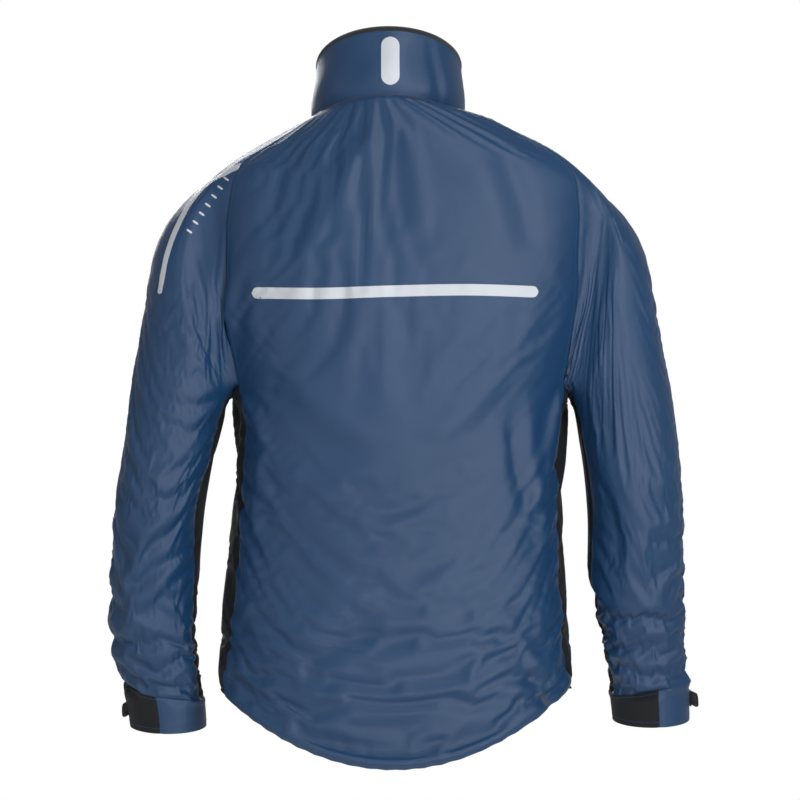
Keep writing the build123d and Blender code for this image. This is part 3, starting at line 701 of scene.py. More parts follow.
def thread(name, lines, pitch=0.0032, length=0.0022, radius=0.00032, surface="thread"):
    """Stitches along lines of (points, normals), each a small rounded dash."""
    points, faces = [], []
    ring = np.radians([0, 90, 180, 270])
    for line, normals in lines:
        run = run_along(line)
        count = int(run[-1] / pitch)
        if count < 2:
            continue
        for s in (np.arange(count) + 0.5) * pitch:
            ends = [at_run(line, run, q) for q in (s - length / 2, s, s + length / 2)]
            up = unit(at_run(normals, run, s))
            side = unit(np.cross(ends[2] - ends[0], up))
            base = len(points)
            for q, size, rise in zip(ends, (0.45, 1.0, 0.45), (0.0, 0.25, 0.0)):
                for angle in ring:
                    offset = radius * size * (np.cos(angle) * side + np.sin(angle) * up)
                    points.append(q + offset + up * radius * rise)
            for level in (0, 4):
                for k in range(4):
                    i, j = base + level + k, base + level + (k + 1) % 4
                    faces.append([i, j, j + 4, i + 4])
            faces.append([base + 3, base + 2, base + 1, base])
            faces.append([base + 8, base + 9, base + 10, base + 11])
    return make(name, points, faces, [surface])


def tube(name, line, ups, radius, squash, sides=10):
    """A closed flattened tube of black tape along points."""
    line = np.asarray(line, float)
    tangent = unit(np.gradient(line, axis=0))
    side = unit(np.cross(tangent, ups))
    up = unit(np.cross(side, tangent))
    points, faces = [], []
    for q, s, u in zip(line, side, up):
        for k in range(sides):
            a = 2 * math.pi * k / sides
            points.append(q + radius * (math.cos(a) * s + squash * math.sin(a) * u))
    for i in range(len(line) - 1):
        for k in range(sides):
            a, b = i * sides + k, i * sides + (k + 1) % sides
            faces.append([a, b, b + sides, a + sides])
    faces.append(list(range(sides))[::-1])
    faces.append(list(range((len(line) - 1) * sides, len(line) * sides)))
    return make(name, points, faces, ["black_tape"])


def flat_size(points):
    """Width, length and area of a grid of cloth."""
    width = np.linalg.norm(np.diff(points, axis=1), axis=-1).sum(1).max()
    length = np.linalg.norm(np.diff(points, axis=0), axis=-1).sum(0).max()
    cross = np.cross(points[1:, 1:] - points[:-1, :-1], points[1:, :-1] - points[:-1, 1:])
    return float(width), float(length), float(np.linalg.norm(cross, axis=-1).sum() / 2)


def cloth_piece(flat_points):
    """Works out a cloth piece's width, length and area before the simulation, and does not use them.

    The width is the longest row, which on a sleeve's top is the curved armhole seam."""
    width, length, area = flat_size(flat_points)
    area = min(area, width * length)


# ---------------------------------------------------------------- build: cloth and panels
cloth = build_cloth()
flat_points = cloth.points.copy()
cloth.points = drape(cloth)


def grid_of(name, source=None):
    """A panel's points, draped unless another source is given."""
    return (cloth.points if source is None else source)[cloth.grids[name]]


def body_panel(name, piece, surfaces, rows, columns, edges, node):
    """One body panel: refined, sunk at its seams and made into cloth."""
    points = patch(grid_of(name), rows, columns)
    normals = grid_normals(points, away(points))
    if name == "back":
        inside_edges = ease(run_from(points, 1, "low") / 0.03) * ease(run_from(points, 1, "high") / 0.03)
        lift = sum(crease(points, *fold) for fold in BACK_FOLDS) * inside_edges
        points = points + normals * lift[..., None]
        normals = grid_normals(points, away(points))
    points = pucker(points, normals, HEM_STITCH, seed=len(name))
    points = sink(points, normals, edges)
    obj = shell(piece, points, normals, surfaces)
    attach(obj, "jacket")
    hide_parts(node)
    cloth_piece(patch(grid_of(name, flat_points), rows, columns))
    return points, normals


TOP = LOWER_ROWS + UPPER_ROWS
FACE = ["shell_nylon", "inner_face"]
back_rows, back_columns = fine(0, TOP), fine(0, BACK_COLUMNS)
back, back_n = body_panel(
    "back", "back_panel_cloth", FACE, back_rows, back_columns, [(1, "low"), (1, "high"), (0, "high")], "back_panel"
)
fronts = {}
for side in SIDES:
    rows, columns = fine(0, TOP), fine(0, FRONT_COLUMNS)
    fronts[side] = body_panel(
        f"{side}_front", f"{side}_front_cloth", FACE, rows, columns, [(1, "low"), (0, "high")], f"{side}_front_panel"
    )
    rows, columns = fine(0, LOWER_ROWS), fine(0, SIDE_COLUMNS)
    # the side panels are near-black: partly a dark side panel, partly painted shade for the deep shade along the
    # jacket's sides
    body_panel(
        f"{side}_side", f"{side}_side_cloth", ["dark_stretch", "inner_face"], rows, columns,
        [(1, "low"), (1, "high"), (0, "high")], f"{side}_side_panel",
    )

# ---------------------------------------------------------------- sleeves
SPLIT = HEAD_ROWS + 7  # the row where a sleeve's two pieces meet, halfway down the upper arm
ELBOW_REACH = 0.095


def joint_at(name):
    """A joint's place in the shared frame."""
    return np.array(JOINTS[name]["pos_m"], float)


def to_arm(side, seam, split):
    """Where a sleeve's top turns from the jacket to the upper arm."""
    middle = joint_at(f"{side}_shoulder")
    direction = unit(np.array([SIDES[side] * 0.95, 0, -0.31]))
    start = ((seam - middle) @ direction).max() + 0.001
    end = max(((split - middle) @ direction).min(), start + 0.02)
    return middle + direction * start, middle + direction * end


def to_forearm(side, split):
    """Where a sleeve's lower piece turns from the upper arm to the forearm."""
    elbow = joint_at(f"{side}_elbow")
    direction = unit(elbow - joint_at(f"{side}_shoulder"))
    start = ((split - elbow) @ direction).max()
    return elbow + direction * start, elbow + direction * (start + ELBOW_REACH)


def sleeve_out(side, points):
    """Directions away from a sleeve's middle line."""
    height = points[..., 2]
    middle = np.stack(
        [SIDES[side] * smooth(SLEEVE[side], height, 1), smooth(SLEEVE_DEPTH, height, 1), height], -1
    )
    return points - middle


sleeves = {}
for side in SIDES:
    ids = cloth.grids[f"{side}_sleeve"]
    angle = cloth.grids[f"{side}_angles"]
    last, count = ids.shape[0] - 1, ids.shape[1] - 1
    grid, flat = cloth.points[ids], flat_points[ids]
    start, end = to_arm(side, grid[0], grid[SPLIT])
    bend_start, bend_end = to_forearm(side, grid[SPLIT])
    # the columns three times over, so that a strip may cross the grid's first column
    closed = np.concatenate([grid[:, :-1]] * 3, 1)
    closed_flat = np.concatenate([flat[:, :-1]] * 3, 1)
    gusset = (count, count + PAINTED_SHADE_GUSSET_COLUMNS)
    outer = (count + PAINTED_SHADE_GUSSET_COLUMNS, 2 * count)
    cuff_row = last - CUFF_BAND / np.linalg.norm(grid[-1, 0] - grid[-11, 0]) * 10
    sleeves[side] = {"start": start, "end": end}
    spans = {
        "top": (fine(0, SPLIT, high=False), ("jacket", f"{side}_upper_arm", start, end)),
        "low": (fine(SPLIT, cuff_row, low=False), (f"{side}_upper_arm", f"{side}_forearm", bend_start, bend_end)),
    }
    for level, (rows, (a, b, first, final)) in spans.items():
        # the gusset strip is made near-black as painted shade: a dark sheet where the inner sleeve is only shaded
        for strip, (low, high), surface in (("sleeve", outer, "shell_nylon"), ("gusset", gusset, "dark_stretch")):
            columns = fine(low, high)
            points = patch(closed, rows, columns)
            normals = grid_normals(points, sleeve_out(side, points))
            points = sink(points, normals, [(1, "low"), (1, "high"), (0, "low" if level == "top" else "high")])
            obj = shell(f"{side}_{strip}_{level}", points, normals, [surface, "inner_face"])
            cloth_piece(patch(closed_flat, rows, columns))
            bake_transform(obj)
            nodes = {
                ("sleeve", "top"): [f"{side}_raglan_head", f"{side}_upper_sleeve"],
                ("gusset", "top"): [f"{side}_upper_gusset"],
                ("sleeve", "low"): [f"{side}_forearm_sleeve"],
                ("gusset", "low"): [f"{side}_forearm_gusset"],
            }[strip, level]
            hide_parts(*nodes)
            sleeves[side][strip, level] = (points, normals)
            sleeves[side][strip, level, "before"] = patch(closed_flat, rows, columns)
    # the cuff, in a shell half and a dark half
    rows = fine(cuff_row, last, step=0.4, high=False)
    half = count // 2
    middle_out = count + int(np.argmin(np.abs(angle[:-1])))  # the outboard column
    shell_cols = (middle_out - half / 2, middle_out + half / 2)
    dark_cols = (middle_out + half / 2, middle_out - half / 2 + count)
    for kind, (low, high) in (("out", shell_cols), ("in", dark_cols)):
        dark = (kind == "out") == (side == "left")
        columns = fine(low, high)
        points = patch(closed, rows, columns)
        normals = grid_normals(points, sleeve_out(side, points))
        points = sink(points, normals, [(1, "low"), (1, "high"), (0, "low")], depth=0.0008) + normals * 0.0006
        obj = shell(
            f"{side}_cuff_{kind}", points, normals, ["dark_stretch" if dark else "shell_nylon", "inner_face"], 0.0020
        )
        cloth_piece(patch(closed_flat, rows, columns))
        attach(obj, f"{side}_forearm")
        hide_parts(f"{side}_cuff_trim" if dark else f"{side}_cuff")
        sleeves[side]["cuff", kind] = (points, normals)

# ---------------------------------------------------------------- collar
COLLAR_ROWS, COLLAR_COLUMNS, COLLAR_SAMPLES = 18, 120, 500


def collar_grid(offset=0.0, rise=1.0, low=0.0):
    """The stand collar between two shares of its height, with the soft bulge of folded cloth."""
    bottom = [float(smooth(BODY, NECK, i)) for i in (1, 2, 3, 4, 5)]
    top = list(COLLAR_TOP[1:])
    rows = []
    for t in np.linspace(low, rise, COLLAR_ROWS + 1):
        values = [a + (b - a) * t for a, b in zip(bottom, top)]
        height = NECK + (COLLAR_TOP[0] - NECK) * t
        points = section(np.full(COLLAR_SAMPLES, height), np.linspace(-89.0, 269.0, COLLAR_SAMPLES), values)
        points = points[(np.abs(points[:, 0]) > ZIP_EDGE * 0.4) | (points[:, 1] > 0)]
        middle = points.mean(0)
        out = unit((points - middle) * (1, 1, 0))
        wave = 0.0016 * np.sin(points[:, 0] * 95 + t * 2.1) * bump(t - 0.45, 0.35)
        wave += 0.0024 * bump(t - 0.35, 0.3) - 0.0022 * bump(t, 0.10)
        wave -= 0.0042 * bump(points[:, 0] + 0.050 - 0.012 * t, 0.006) * bump(t - 0.3, 0.5) * (points[:, 1] > 0)
        points = points + out * (wave + offset)[:, None]
        run = run_along(points)
        rows.append(at_run(points, run, np.linspace(0, run[-1], COLLAR_COLUMNS + 1)))
    return np.array(rows)


collar = collar_grid()
collar_n = grid_normals(collar, away(collar) - (0, -0.01, 0))
collar_s = sink(collar, collar_n, [(0, "low")], depth=0.0014, width=0.004)
obj = shell("collar_cloth", collar_s, collar_n, FACE)
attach(obj, "jacket")
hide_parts("collar_shell")
cloth_piece(collar)
inside = collar_grid(offset=-0.0014, rise=0.985, low=-0.03)
inside_n = grid_normals(inside, away(inside) - (0, -0.01, 0))
obj = shell("collar_lining_cloth", inside, inside_n, ["brushed_lining"], THIN_WALL)
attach(obj, "jacket")
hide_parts("collar_lining")
cloth_piece(inside)
rim = collar[-1] - collar_n[-1] * 0.0016
ups = unit(collar[-1] - collar[-2])
obj = tube("collar_binding_cloth", rim, ups, 0.0026, 1.25)
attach(obj, "jacket")
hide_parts("collar_binding")

# ---------------------------------------------------------------- surfaces to lay strips on
RIBBON_RISE, RIBBON_JUMP = 0.00035, 0.012  # above the cloth; a longer step ends a run


def tree_of(grid):
    """A search tree of a grid's faces."""
    return BVHTree.FromPolygons(grid.reshape(-1, 3).tolist(), quads_of(*grid.shape[:2]).tolist())


def from_behind(tree, x, z):
    """The point that a ray from behind meets."""
    hit = tree.ray_cast(Vector((x, 0.6, z)), Vector((0, -1, 0)))
    return None if hit[0] is None else np.array(hit[0])


def from_front(tree, x, z):
    """The point that a ray from in front meets."""
    hit = tree.ray_cast(Vector((x, -0.6, z)), Vector((0, 1, 0)))
    return np.array(hit[0]) if hit[0] is not None else np.array([x, FRONT_TOP - (ZIP_TOP - z) * LEAN, z])


def nearest(tree, point, out):
    """The nearest surface point and its outward normal."""
    hit, normal, _, _ = tree.find_nearest(Vector(point))
    normal = np.array(normal)
    return np.array(hit), normal if normal @ out > 0 else -normal


def ribbon(name, tree, path, width, surface, count, wall=0.0004, taper=1.0, centre=(0, 0, -0.2), guide=None):
    """A flat strip with round ends laid on the cloth along a path seen from behind.

    Rays from behind meet the guide, which may be the smooth surface before the simulation."""
    path = np.array(path, float)
    run = run_along(path)
    at = np.linspace(0, run[-1], count)
    spline = along(path, np.interp(at, run, np.arange(len(path))))
    tangent = unit(np.gradient(spline, axis=0))
    half = width / 2 * (1 - (1 - taper) * at / at[-1])
    for gap in (at, at[-1] - at):
        half = np.where(gap < half, np.sqrt(np.maximum(half**2 - (half - gap) ** 2, (0.15 * half) ** 2)), half)
    rows, normals, runs, last_hit = [], [], [], None
    middle = np.array(centre)
    for (x, z), (tx, tz), h in zip(spline, tangent, half):
        row = [from_behind(guide or tree, x - tz * h * k, z + tx * h * k) for k in np.linspace(-1, 1, 5)]
        if any(q is None for q in row):
            continue
        if rows and np.linalg.norm(row[2] - last_hit) > RIBBON_JUMP:
            runs.append((rows, normals))
            rows, normals = [], []
        last_hit = row[2]
        for k in (0, 1, 3, 4):
            apart = row[k] - row[2]
            row[k] = row[2] + apart * min(1, 1.5 * h * abs(k - 2) / 2 / max(np.linalg.norm(apart), 1e-6))
        found = [nearest(tree, q, q - middle) for q in row]
        rows.append([q + n * RIBBON_RISE for q, n in found])
        normals.append([n for _, n in found])
    rows, normals = max([*runs, (rows, normals)], key=lambda run: len(run[0]))
    rows, normals = np.array(rows), unit(np.array(normals))
    return shell(name, rows, normals, [surface], wall=wall)


back_tree = tree_of(back)
strip_path = [(-0.157, -0.2035), (-0.08, -0.2015), (0.0, -0.2030), (0.08, -0.2055), (0.157, -0.2045)]
obj = ribbon("back_strip", back_tree, strip_path, 0.0125, "reflective_film", 150)
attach(obj, "jacket")
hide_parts("back_reflector")

collar_tree = tree_of(collar_s)
tab_path = [(0.005, 0.024), (0.0052, 0.050), (0.005, 0.077)]
obj = ribbon("collar_tab", collar_tree, tab_path, 0.020, "reflective_film", 50)
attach(obj, "jacket")
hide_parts("collar_label")

STRIPES = {
    "left": [
        (0.108, -0.0285), (0.132, -0.0445), (0.160, -0.058), (0.187, -0.071), (0.210, -0.085),
        (0.228, -0.106), (0.242, -0.133), (0.253, -0.165), (0.262, -0.205),
    ],
    "right": [
        (-0.106, -0.0235), (-0.132, -0.0345), (-0.160, -0.0465), (-0.195, -0.062), (-0.220, -0.075),
        (-0.233, -0.084), (-0.245, -0.104), (-0.256, -0.126), (-0.267, -0.152), (-0.275, -0.178),
    ],
}
for side, path in STRIPES.items():
    s = sleeves[side]
    s["tree"] = tree_of(s["sleeve", "top"][0])
    s["guide"] = tree_of(s["sleeve", "top", "before"])
    obj = ribbon(
        f"{side}_shoulder_strip", s["tree"], path, 0.0065, "reflective_film", 140,
        taper=0.8 if side == "left" else 1.0, centre=(SIDES[side] * 0.19, 0, -0.2), guide=s["guide"],
    )
    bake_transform(obj)
    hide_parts(f"{side}_raglan_stripe", f"{side}_sleeve_stripe")

# ---------------------------------------------------------------- linings and inner pieces
# the mesh lining of the back, the hem's facing and the flap behind the zip
LINING_GAP = 0.0078  # deeper than the folds, so that the lining doesn't show through them
rows, columns = fine(3, TOP - 1, step=1.0), fine(0.4, BACK_COLUMNS - 0.4, step=1.0)
points = patch(grid_of("back"), rows, columns)
normals = grid_normals(points, away(points))
obj = shell("back_lining_cloth", points - normals * LINING_GAP, normals, ["mesh_lining"], 0.0007)
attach(obj, "jacket")
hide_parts("back_lining")
cloth_piece(points)


def body_ring(row_list):
    """Rows of the body from the left zip edge round the back to the right one, as one grid."""
    parts = [
        patch(grid_of("left_front"), row_list, fine(0, FRONT_COLUMNS, low=False, high=False))[:, ::-1],
        patch(grid_of("left_side"), row_list, np.arange(0, SIDE_COLUMNS + 1))[:, 1:],
        patch(grid_of("back"), row_list, np.arange(0, BACK_COLUMNS + 0.5, 0.5))[:, ::-1][:, 1:],
        patch(grid_of("right_side"), row_list, np.arange(0, SIDE_COLUMNS + 1))[:, ::-1][:, 1:],
        patch(grid_of("right_front"), row_list, fine(0, FRONT_COLUMNS, low=False, high=False))[:, 1:],
    ]
    return np.concatenate(parts, 1)


facing = body_ring(np.array([0.15, 0.5, 1, 1.5, 2, 2.5, 3.0, 3.35]))
facing_n = grid_normals(facing, away(facing))
obj = shell("hem_facing_cloth", facing - facing_n * 0.0015, facing_n, ["inner_face"], THIN_WALL)
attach(obj, "jacket")
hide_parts("hem_facing")
cloth_piece(facing)


def zip_at(x, y, z):
    """A point beside the zip: across, in front of (-) or behind (+) its line, and height."""
    return np.array([x, FRONT_TOP - (ZIP_TOP - z) * LEAN + y, z])


def strip_grid(x_low, x_high, y, z_low, z_high, rows=60, wave=0.0006):
    """A flat strip of cloth behind the zip with a slight unevenness."""
    grid = np.zeros((rows + 1, 9, 3))
    for i, z in enumerate(np.linspace(z_low, z_high, rows + 1)):
        for k, x in enumerate(np.linspace(x_low, x_high, 9)):
            lift = wave * math.sin(z * 61 + x * 90) * math.sin(z * 23)
            grid[i, k] = zip_at(x, y + lift, z)
    return grid


flap_low, flap_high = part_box("storm_flap")
flap = strip_grid(flap_low[0] + 0.001, flap_high[0] - 0.001, 0.0043, flap_low[2] + 0.002, flap_high[2] - 0.002)
flap_n = np.tile((0.0, -1.0, 0.0), (*flap.shape[:2], 1))
obj = shell("storm_flap_cloth", flap, flap_n, ["shell_nylon"], THIN_WALL)
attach(obj, "jacket")
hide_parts("storm_flap")
cloth_piece(flap)
guard_low, guard_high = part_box("chin_guard")
guard = strip_grid(guard_low[0], guard_high[0], 0.0036, guard_low[2], guard_high[2], rows=16, wave=0.0)
guard_n = np.tile((0.0, -1.0, 0.0), (*guard.shape[:2], 1))
obj = shell("chin_guard_cloth", guard, guard_n, ["brushed_lining"], 0.0014)
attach(obj, "jacket")
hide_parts("chin_guard")
cloth_piece(guard)

# ---------------------------------------------------------------- zips
ZIP_PITCH, TOOTH_LENGTH, TOOTH_HEIGHT, TOOTH_SQUEEZE = 0.0032, 0.0021, 0.0013, 0.86
TAPE_PROFILE = (
    (0.0009, 0.0010), (0.0022, 0.0008), (0.0032, 0.0011), (0.0045, 0.0011), (0.009, 0.0011), (0.0129, 0.0011)
)


def zip_teeth(name, frame_point, length, inner_x, outer_x, sign, start):
    """Moulded teeth along a tape; frame_point gives a point from across, depth and along."""
    points, faces = [], []
    count = int(length / ZIP_PITCH)
    for number in range(count):
        s = start + (number + (0.5 if sign > 0 else 0.0)) * ZIP_PITCH
        base = len(points)
        profile = [(0.0, 0.30), (0.25, 0.5), (0.8, 0.5), (1.0, 0.36)]
        for depth in (-0.5, 0.5):
            for share, half in profile:
                x = sign * (inner_x + (outer_x - inner_x) * share)
                for end in (-1, 1):
                    reach = end * half * TOOTH_LENGTH * TOOTH_SQUEEZE
                    points.append(frame_point(x, depth * TOOTH_HEIGHT + 0.0004, s + reach))
        for k in range(3):
            a = base + 2 * k
            faces += [[a, a + 1, a + 3, a + 2], [a + 8, a + 10, a + 11, a + 9]]
            faces += [[a, a + 2, a + 10, a + 8], [a + 1, a + 9, a + 11, a + 3]]
        faces += [[base, base + 8, base + 9, base + 1], [base + 6, base + 7, base + 15, base + 14]]
    return make(name, points, faces, ["zip_coil"])


ZIP_LENGTH = (ZIP_TOP - ZIP_FOOT) * math.sqrt(1 + LEAN**2)
zip_up = unit(np.array([0, LEAN, 1.0]))
zip_in = unit(np.array([0, 1.0, -LEAN]))
zip_foot = zip_at(0, 0, ZIP_FOOT)


def main_zip_point(x, y, s):
    return zip_foot + np.array([x, 0, 0]) + zip_in * y + zip_up * s


for side, sign in SIDES.items():
    obj = zip_teeth(f"{side}_zip_teeth_row", main_zip_point, ZIP_LENGTH - 0.014, 0.0006, 0.0031, sign, 0.0098)
    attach(obj, "jacket")
    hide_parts(f"{side}_zip_teeth")
    tape = np.array([
        [main_zip_point(sign * x, y, s) for x, y in TAPE_PROFILE] for s in np.linspace(0, ZIP_LENGTH, 90)
    ])
    tape_n = np.tile(-zip_in, (*tape.shape[:2], 1))
    obj = shell(f"{side}_zip_tape_cloth", tape, tape_n, ["black_tape"], THIN_WALL)
    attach(obj, "jacket")
    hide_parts(f"{side}_zip_tape")

# ---------------------------------------------------------------- pockets
POCKET_HALF, WINDOW_HALF = 0.075, 0.0052
BAG_REACH = 0.150  # the bag ends before the body's side
for side, sign in SIDES.items():
    slider = JOINTS[f"{side}_pocket_zip"]
    up = -np.array(slider["axis"], float)
    across = -np.array(JOINTS[f"{side}_pocket_pull_swing"]["axis"], float)
    tape_low, tape_high = (np.array(c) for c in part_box(f"{side}_pocket_tape"))
    middle = (tape_low + tape_high) / 2
    inward = unit(np.cross(across, up))
    inward = inward if inward[1] > 0 else -inward

    def pocket_point(x, y, s):
        return middle + across * x + inward * y + up * s

    # teeth and tape of the pocket's zip
    for part, half in (("upper", 1), ("lower", -1)):
        obj = zip_teeth(
            f"{side}_pocket_teeth_{part}", lambda x, y, s: pocket_point(x, y - 0.0015, s),
            2 * POCKET_HALF - 0.008, 0.0005, 0.0024, half, -POCKET_HALF + 0.004,
        )
        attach(obj, "jacket")
        if half == 1:
            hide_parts(f"{side}_pocket_teeth")
    tape = np.array([
        [pocket_point(x, -0.0004, s) for x in np.linspace(-0.0075, 0.0075, 9)]
        for s in np.linspace(-POCKET_HALF - 0.002, POCKET_HALF + 0.002, 50)
    ])
    tape_n = np.tile(-inward, (*tape.shape[:2], 1))
    obj = shell(f"{side}_pocket_tape_cloth", tape, tape_n, ["black_tape"], THIN_WALL)
    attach(obj, "jacket")
    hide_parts(f"{side}_pocket_tape")
    # the window in the front and the welt round it
    panel = bpy.data.objects[f"{side}_front_cloth"]
    cut = bmesh.new()
    cut.from_mesh(panel.data)

    def faces_near(margin):
        """The front's faces in the window, with a margin round it."""
        reach = (WINDOW_HALF + margin, POCKET_HALF + margin, 0.03)
        axes = list(zip((across, up, inward), reach))
        apart = ((f, np.array(f.calc_center_median()) - middle) for f in cut.faces)
        return [f for f, gap in apart if all(abs(gap @ axis) < half for axis, half in axes)]

    for direction, reach in ((across, WINDOW_HALF), (-across, WINDOW_HALF), (up, POCKET_HALF), (-up, POCKET_HALF)):
        near = faces_near(0.012)
        edges = {e for f in near for e in f.edges}
        verts = {v for f in near for v in f.verts}
        bmesh.ops.bisect_plane(
            cut, geom=[*verts, *edges, *near], plane_co=Vector(middle + direction * reach), plane_no=Vector(direction)
        )
    bmesh.ops.delete(cut, geom=faces_near(0.0), context="FACES")
    bmesh.ops.bridge_loops(cut, edges=[e for e in cut.edges if e.is_boundary])
    cut.to_mesh(panel.data)
    cut.free()
    front_tree = tree_of(fronts[side][0])
    corner, outline = 0.0035, []
    reach_x, reach_s = WINDOW_HALF + 0.0006, POCKET_HALF + 0.0006
    for cx, cs, first in ((1, 1, 0), (-1, 1, 90), (-1, -1, 180), (1, -1, 270)):
        for angle in np.radians(np.linspace(first, first + 90, 6)):
            x = cx * (reach_x - corner) + corner * math.cos(angle)
            outline.append((x, cs * (reach_s - corner) + corner * math.sin(angle)))
    outline.append(outline[0])
    outline = np.array(outline)
    run = run_along(outline)
    ring = at_run(outline, run, np.linspace(0, run[-1], 160))
    welt, welt_n = [], []
    for x, s in ring:
        q, n = nearest(front_tree, pocket_point(x, -0.001, s), -inward)
        outward = unit(np.array([x, s * WINDOW_HALF / POCKET_HALF]))
        aside = across * outward[0] + up * np.sign(s) * (abs(s) > POCKET_HALF - 0.004)
        welt.append([q - n * 0.0016, q + n * 0.0006, *[
            nearest(front_tree, q + aside * d, -inward)[0] + n * h
            for d, h in ((0.0012, 0.0010), (0.0035, 0.0009), (0.0050, 0.0002))
        ]])
        welt_n.append([n] * 5)
    obj = shell(f"{side}_pocket_welt", np.array(welt), np.array(welt_n), ["shell_nylon"], 0.0006)
    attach(obj, "jacket")
    # the bag inside: a slack pouch behind the opening
    low, high = (np.array(c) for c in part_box(f"{side}_pocket_bag"))
    centre, size = (low + high) / 2, (high - low) / 2
    layers = {}
    for layer, extra in (("front", 0.0), ("back", 0.0012)):
        grid = np.zeros((25, 17, 3))
        for i, v in enumerate(np.linspace(-1, 1, 25)):
            for k, u in enumerate(np.linspace(-1, 1, 17)):
                x = centre[0] + size[0] * 0.93 * u * (1 - 0.10 * max(0, -v) ** 3)
                x = sign * min(abs(x), BAG_REACH)
                z = centre[2] + size[2] * 0.95 * v - 0.006 * (1 - u * u) * (v < 0) * v * v
                hit = from_front(front_tree, x, z)
                depth = 0.0065 + (0.0045 * (1 - u * u) * (1 - v * v) * (1 if layer == "back" else 0.25))
                depth += 0.0012 * math.sin(9 * u + 5 * v) * (1 - u * u) * (1 - v * v)
                grid[i, k] = hit + np.array([0, depth + extra, 0])
        layers[layer] = grid
    bag = np.concatenate([layers["front"], layers["back"][:, ::-1], layers["front"][:, :1]], 1)
    bag_n = grid_normals(bag, bag - bag.mean((0, 1)))
    obj = shell(f"{side}_pocket_bag_cloth", bag, bag_n, ["mesh_lining"], 0.0005)
    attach(obj, "jacket")
    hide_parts(f"{side}_pocket_bag")

# ---------------------------------------------------------------- loop, label, patches and straps
loop_low, loop_high = (np.array(c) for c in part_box("hanger_loop"))
half_x = (loop_high[0] - loop_low[0]) / 2 - 0.003
loop_line = []
for a in np.linspace(0, math.pi, 40):
    x = -half_x * math.cos(a)
    z = loop_high[2] - 0.0015 - (loop_high[2] - loop_low[2] - 0.004) * math.sin(a) ** 0.55
    loop_line.append([x, (loop_low[1] + loop_high[1]) / 2, z])
obj = tube("hanger_loop_cord", loop_line, np.tile((0.0, 1.0, 0.0), (40, 1)), 0.0026, 0.28, sides=12)
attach(obj, "loop")
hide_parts("hanger_loop")

label_tree = tree_of(inside)
label = np.zeros((13, 17, 3))
label_n = np.zeros((13, 17, 3))
for i, z in enumerate(np.linspace(0.030, 0.057, 13)):
    for k, x in enumerate(np.linspace(-0.019, 0.019, 17)):
        q, n = nearest(label_tree, (x, 0.066, z), np.array((0.0, -1.0, 0.0)))
        label[i, k], label_n[i, k] = q + n * 0.0013, n
obj = shell("neck_label_cloth", label, label_n, ["woven_label"], 0.0004)
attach(obj, "jacket")
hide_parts("neck_label")

STRAP_RADIUS, STRAP_THICK, STRAP_HALF = 0.0458, 0.0016, 0.010
STRAP_ROOT, STRAP_LEAVES, STRAP_FREE = 78.0, 22.0, 0.024
PATCH_RADIUS, PATCH_HALF = 0.0446, 0.0085
for side, sign in SIDES.items():
    along_arm = unit(np.array(JOINTS[f"{side}_strap_peel"]["axis"], float))
    along_arm = along_arm if along_arm[2] < 0 else -along_arm
    out = np.array([sign, 0.0, 0.0])
    out = unit(out - (out @ along_arm) * along_arm)
    ahead = np.cross(along_arm, out)
    ahead = ahead if ahead[1] < 0 else -ahead
    root = math.radians(STRAP_ROOT)
    hub = joint_at(f"{side}_strap_peel") - STRAP_RADIUS * (math.cos(root) * out + math.sin(root) * ahead)

    def round_arm(angle, radius):
        a = math.radians(angle)
        return hub + radius * (math.cos(a) * out + math.sin(a) * ahead), math.cos(a) * out + math.sin(a) * ahead

    rows, rows_n = [], []
    spots = [(a, 0.0) for a in np.linspace(STRAP_ROOT, STRAP_LEAVES, 26)]
    spots += [(STRAP_LEAVES, d) for d in np.linspace(0.001, STRAP_FREE - 0.0005, 14)]
    total = math.radians(STRAP_ROOT - STRAP_LEAVES) * STRAP_RADIUS + STRAP_FREE
    for angle, beyond in spots:
        q, n = round_arm(angle, STRAP_RADIUS + STRAP_THICK / 2)
        a = math.radians(angle)
        q = q + beyond * (math.sin(a) * out - math.cos(a) * ahead)
        run = math.radians(STRAP_ROOT - angle) * STRAP_RADIUS + beyond
        half = STRAP_HALF - 0.002 * ease((run - total + STRAP_FREE + 0.006) / 0.008)
        gap = max(total - run, 0.0002)
        if gap < 0.006:
            half = min(half, half - 0.006 + math.sqrt(0.006**2 - (0.006 - gap) ** 2))
        row = []
        for k in np.linspace(-1, 1, 11):
            pinch = 0.0003 * math.exp(-(((abs(k) - 0.82) / 0.09) ** 2))
            row.append(q + along_arm * half * k - n * pinch)
        rows.append(row)
        rows_n.append([n] * 11)
    rows, rows_n = np.array(rows), np.array(rows_n)
    obj = shell(f"{side}_strap_tab", rows, rows_n, ["dark_stretch", "loop_pile"], STRAP_THICK)
    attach(obj, f"{side}_strap")
    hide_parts(f"{side}_cuff_strap")
    for k, name in ((1, "low"), (9, "high")):
        lines = [(rows[:-3, k], rows_n[:-3, k])]
        obj = thread(f"{side}_strap_stitch_{name}", lines, surface="grey_print")
        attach(obj, f"{side}_strap")
    patch_rows, patch_n = [], []
    for angle in np.linspace(8, 62, 24):
        q, n = round_arm(angle, PATCH_RADIUS)
        patch_rows.append([q + along_arm * PATCH_HALF * k for k in np.linspace(-1, 1, 7)])
        patch_n.append([n] * 7)
    obj = shell(f"{side}_patch_pile", np.array(patch_rows), np.array(patch_n), ["loop_pile"], 0.0016)
    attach(obj, f"{side}_forearm")
    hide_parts(f"{side}_cuff_patch")

# ---------------------------------------------------------------- stitching
def stitch_line(name, lines, body):
    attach(thread(name, lines), body)


def edge_line(points, normals, axis, end, distance):
    """A line on a grid at a distance from one of its edges."""
    run = run_from(points, axis, end)
    run, points, normals = (np.moveaxis(grid, axis, 0) for grid in (run, points, normals))
    line, line_n = [], []
    for k in range(run.shape[1]):
        order = np.argsort(run[:, k])
        line.append(at_run(points[order, k], run[order, k], distance))
        line_n.append(at_run(normals[order, k], run[order, k], distance))
    return np.array(line), unit(np.array(line_n))


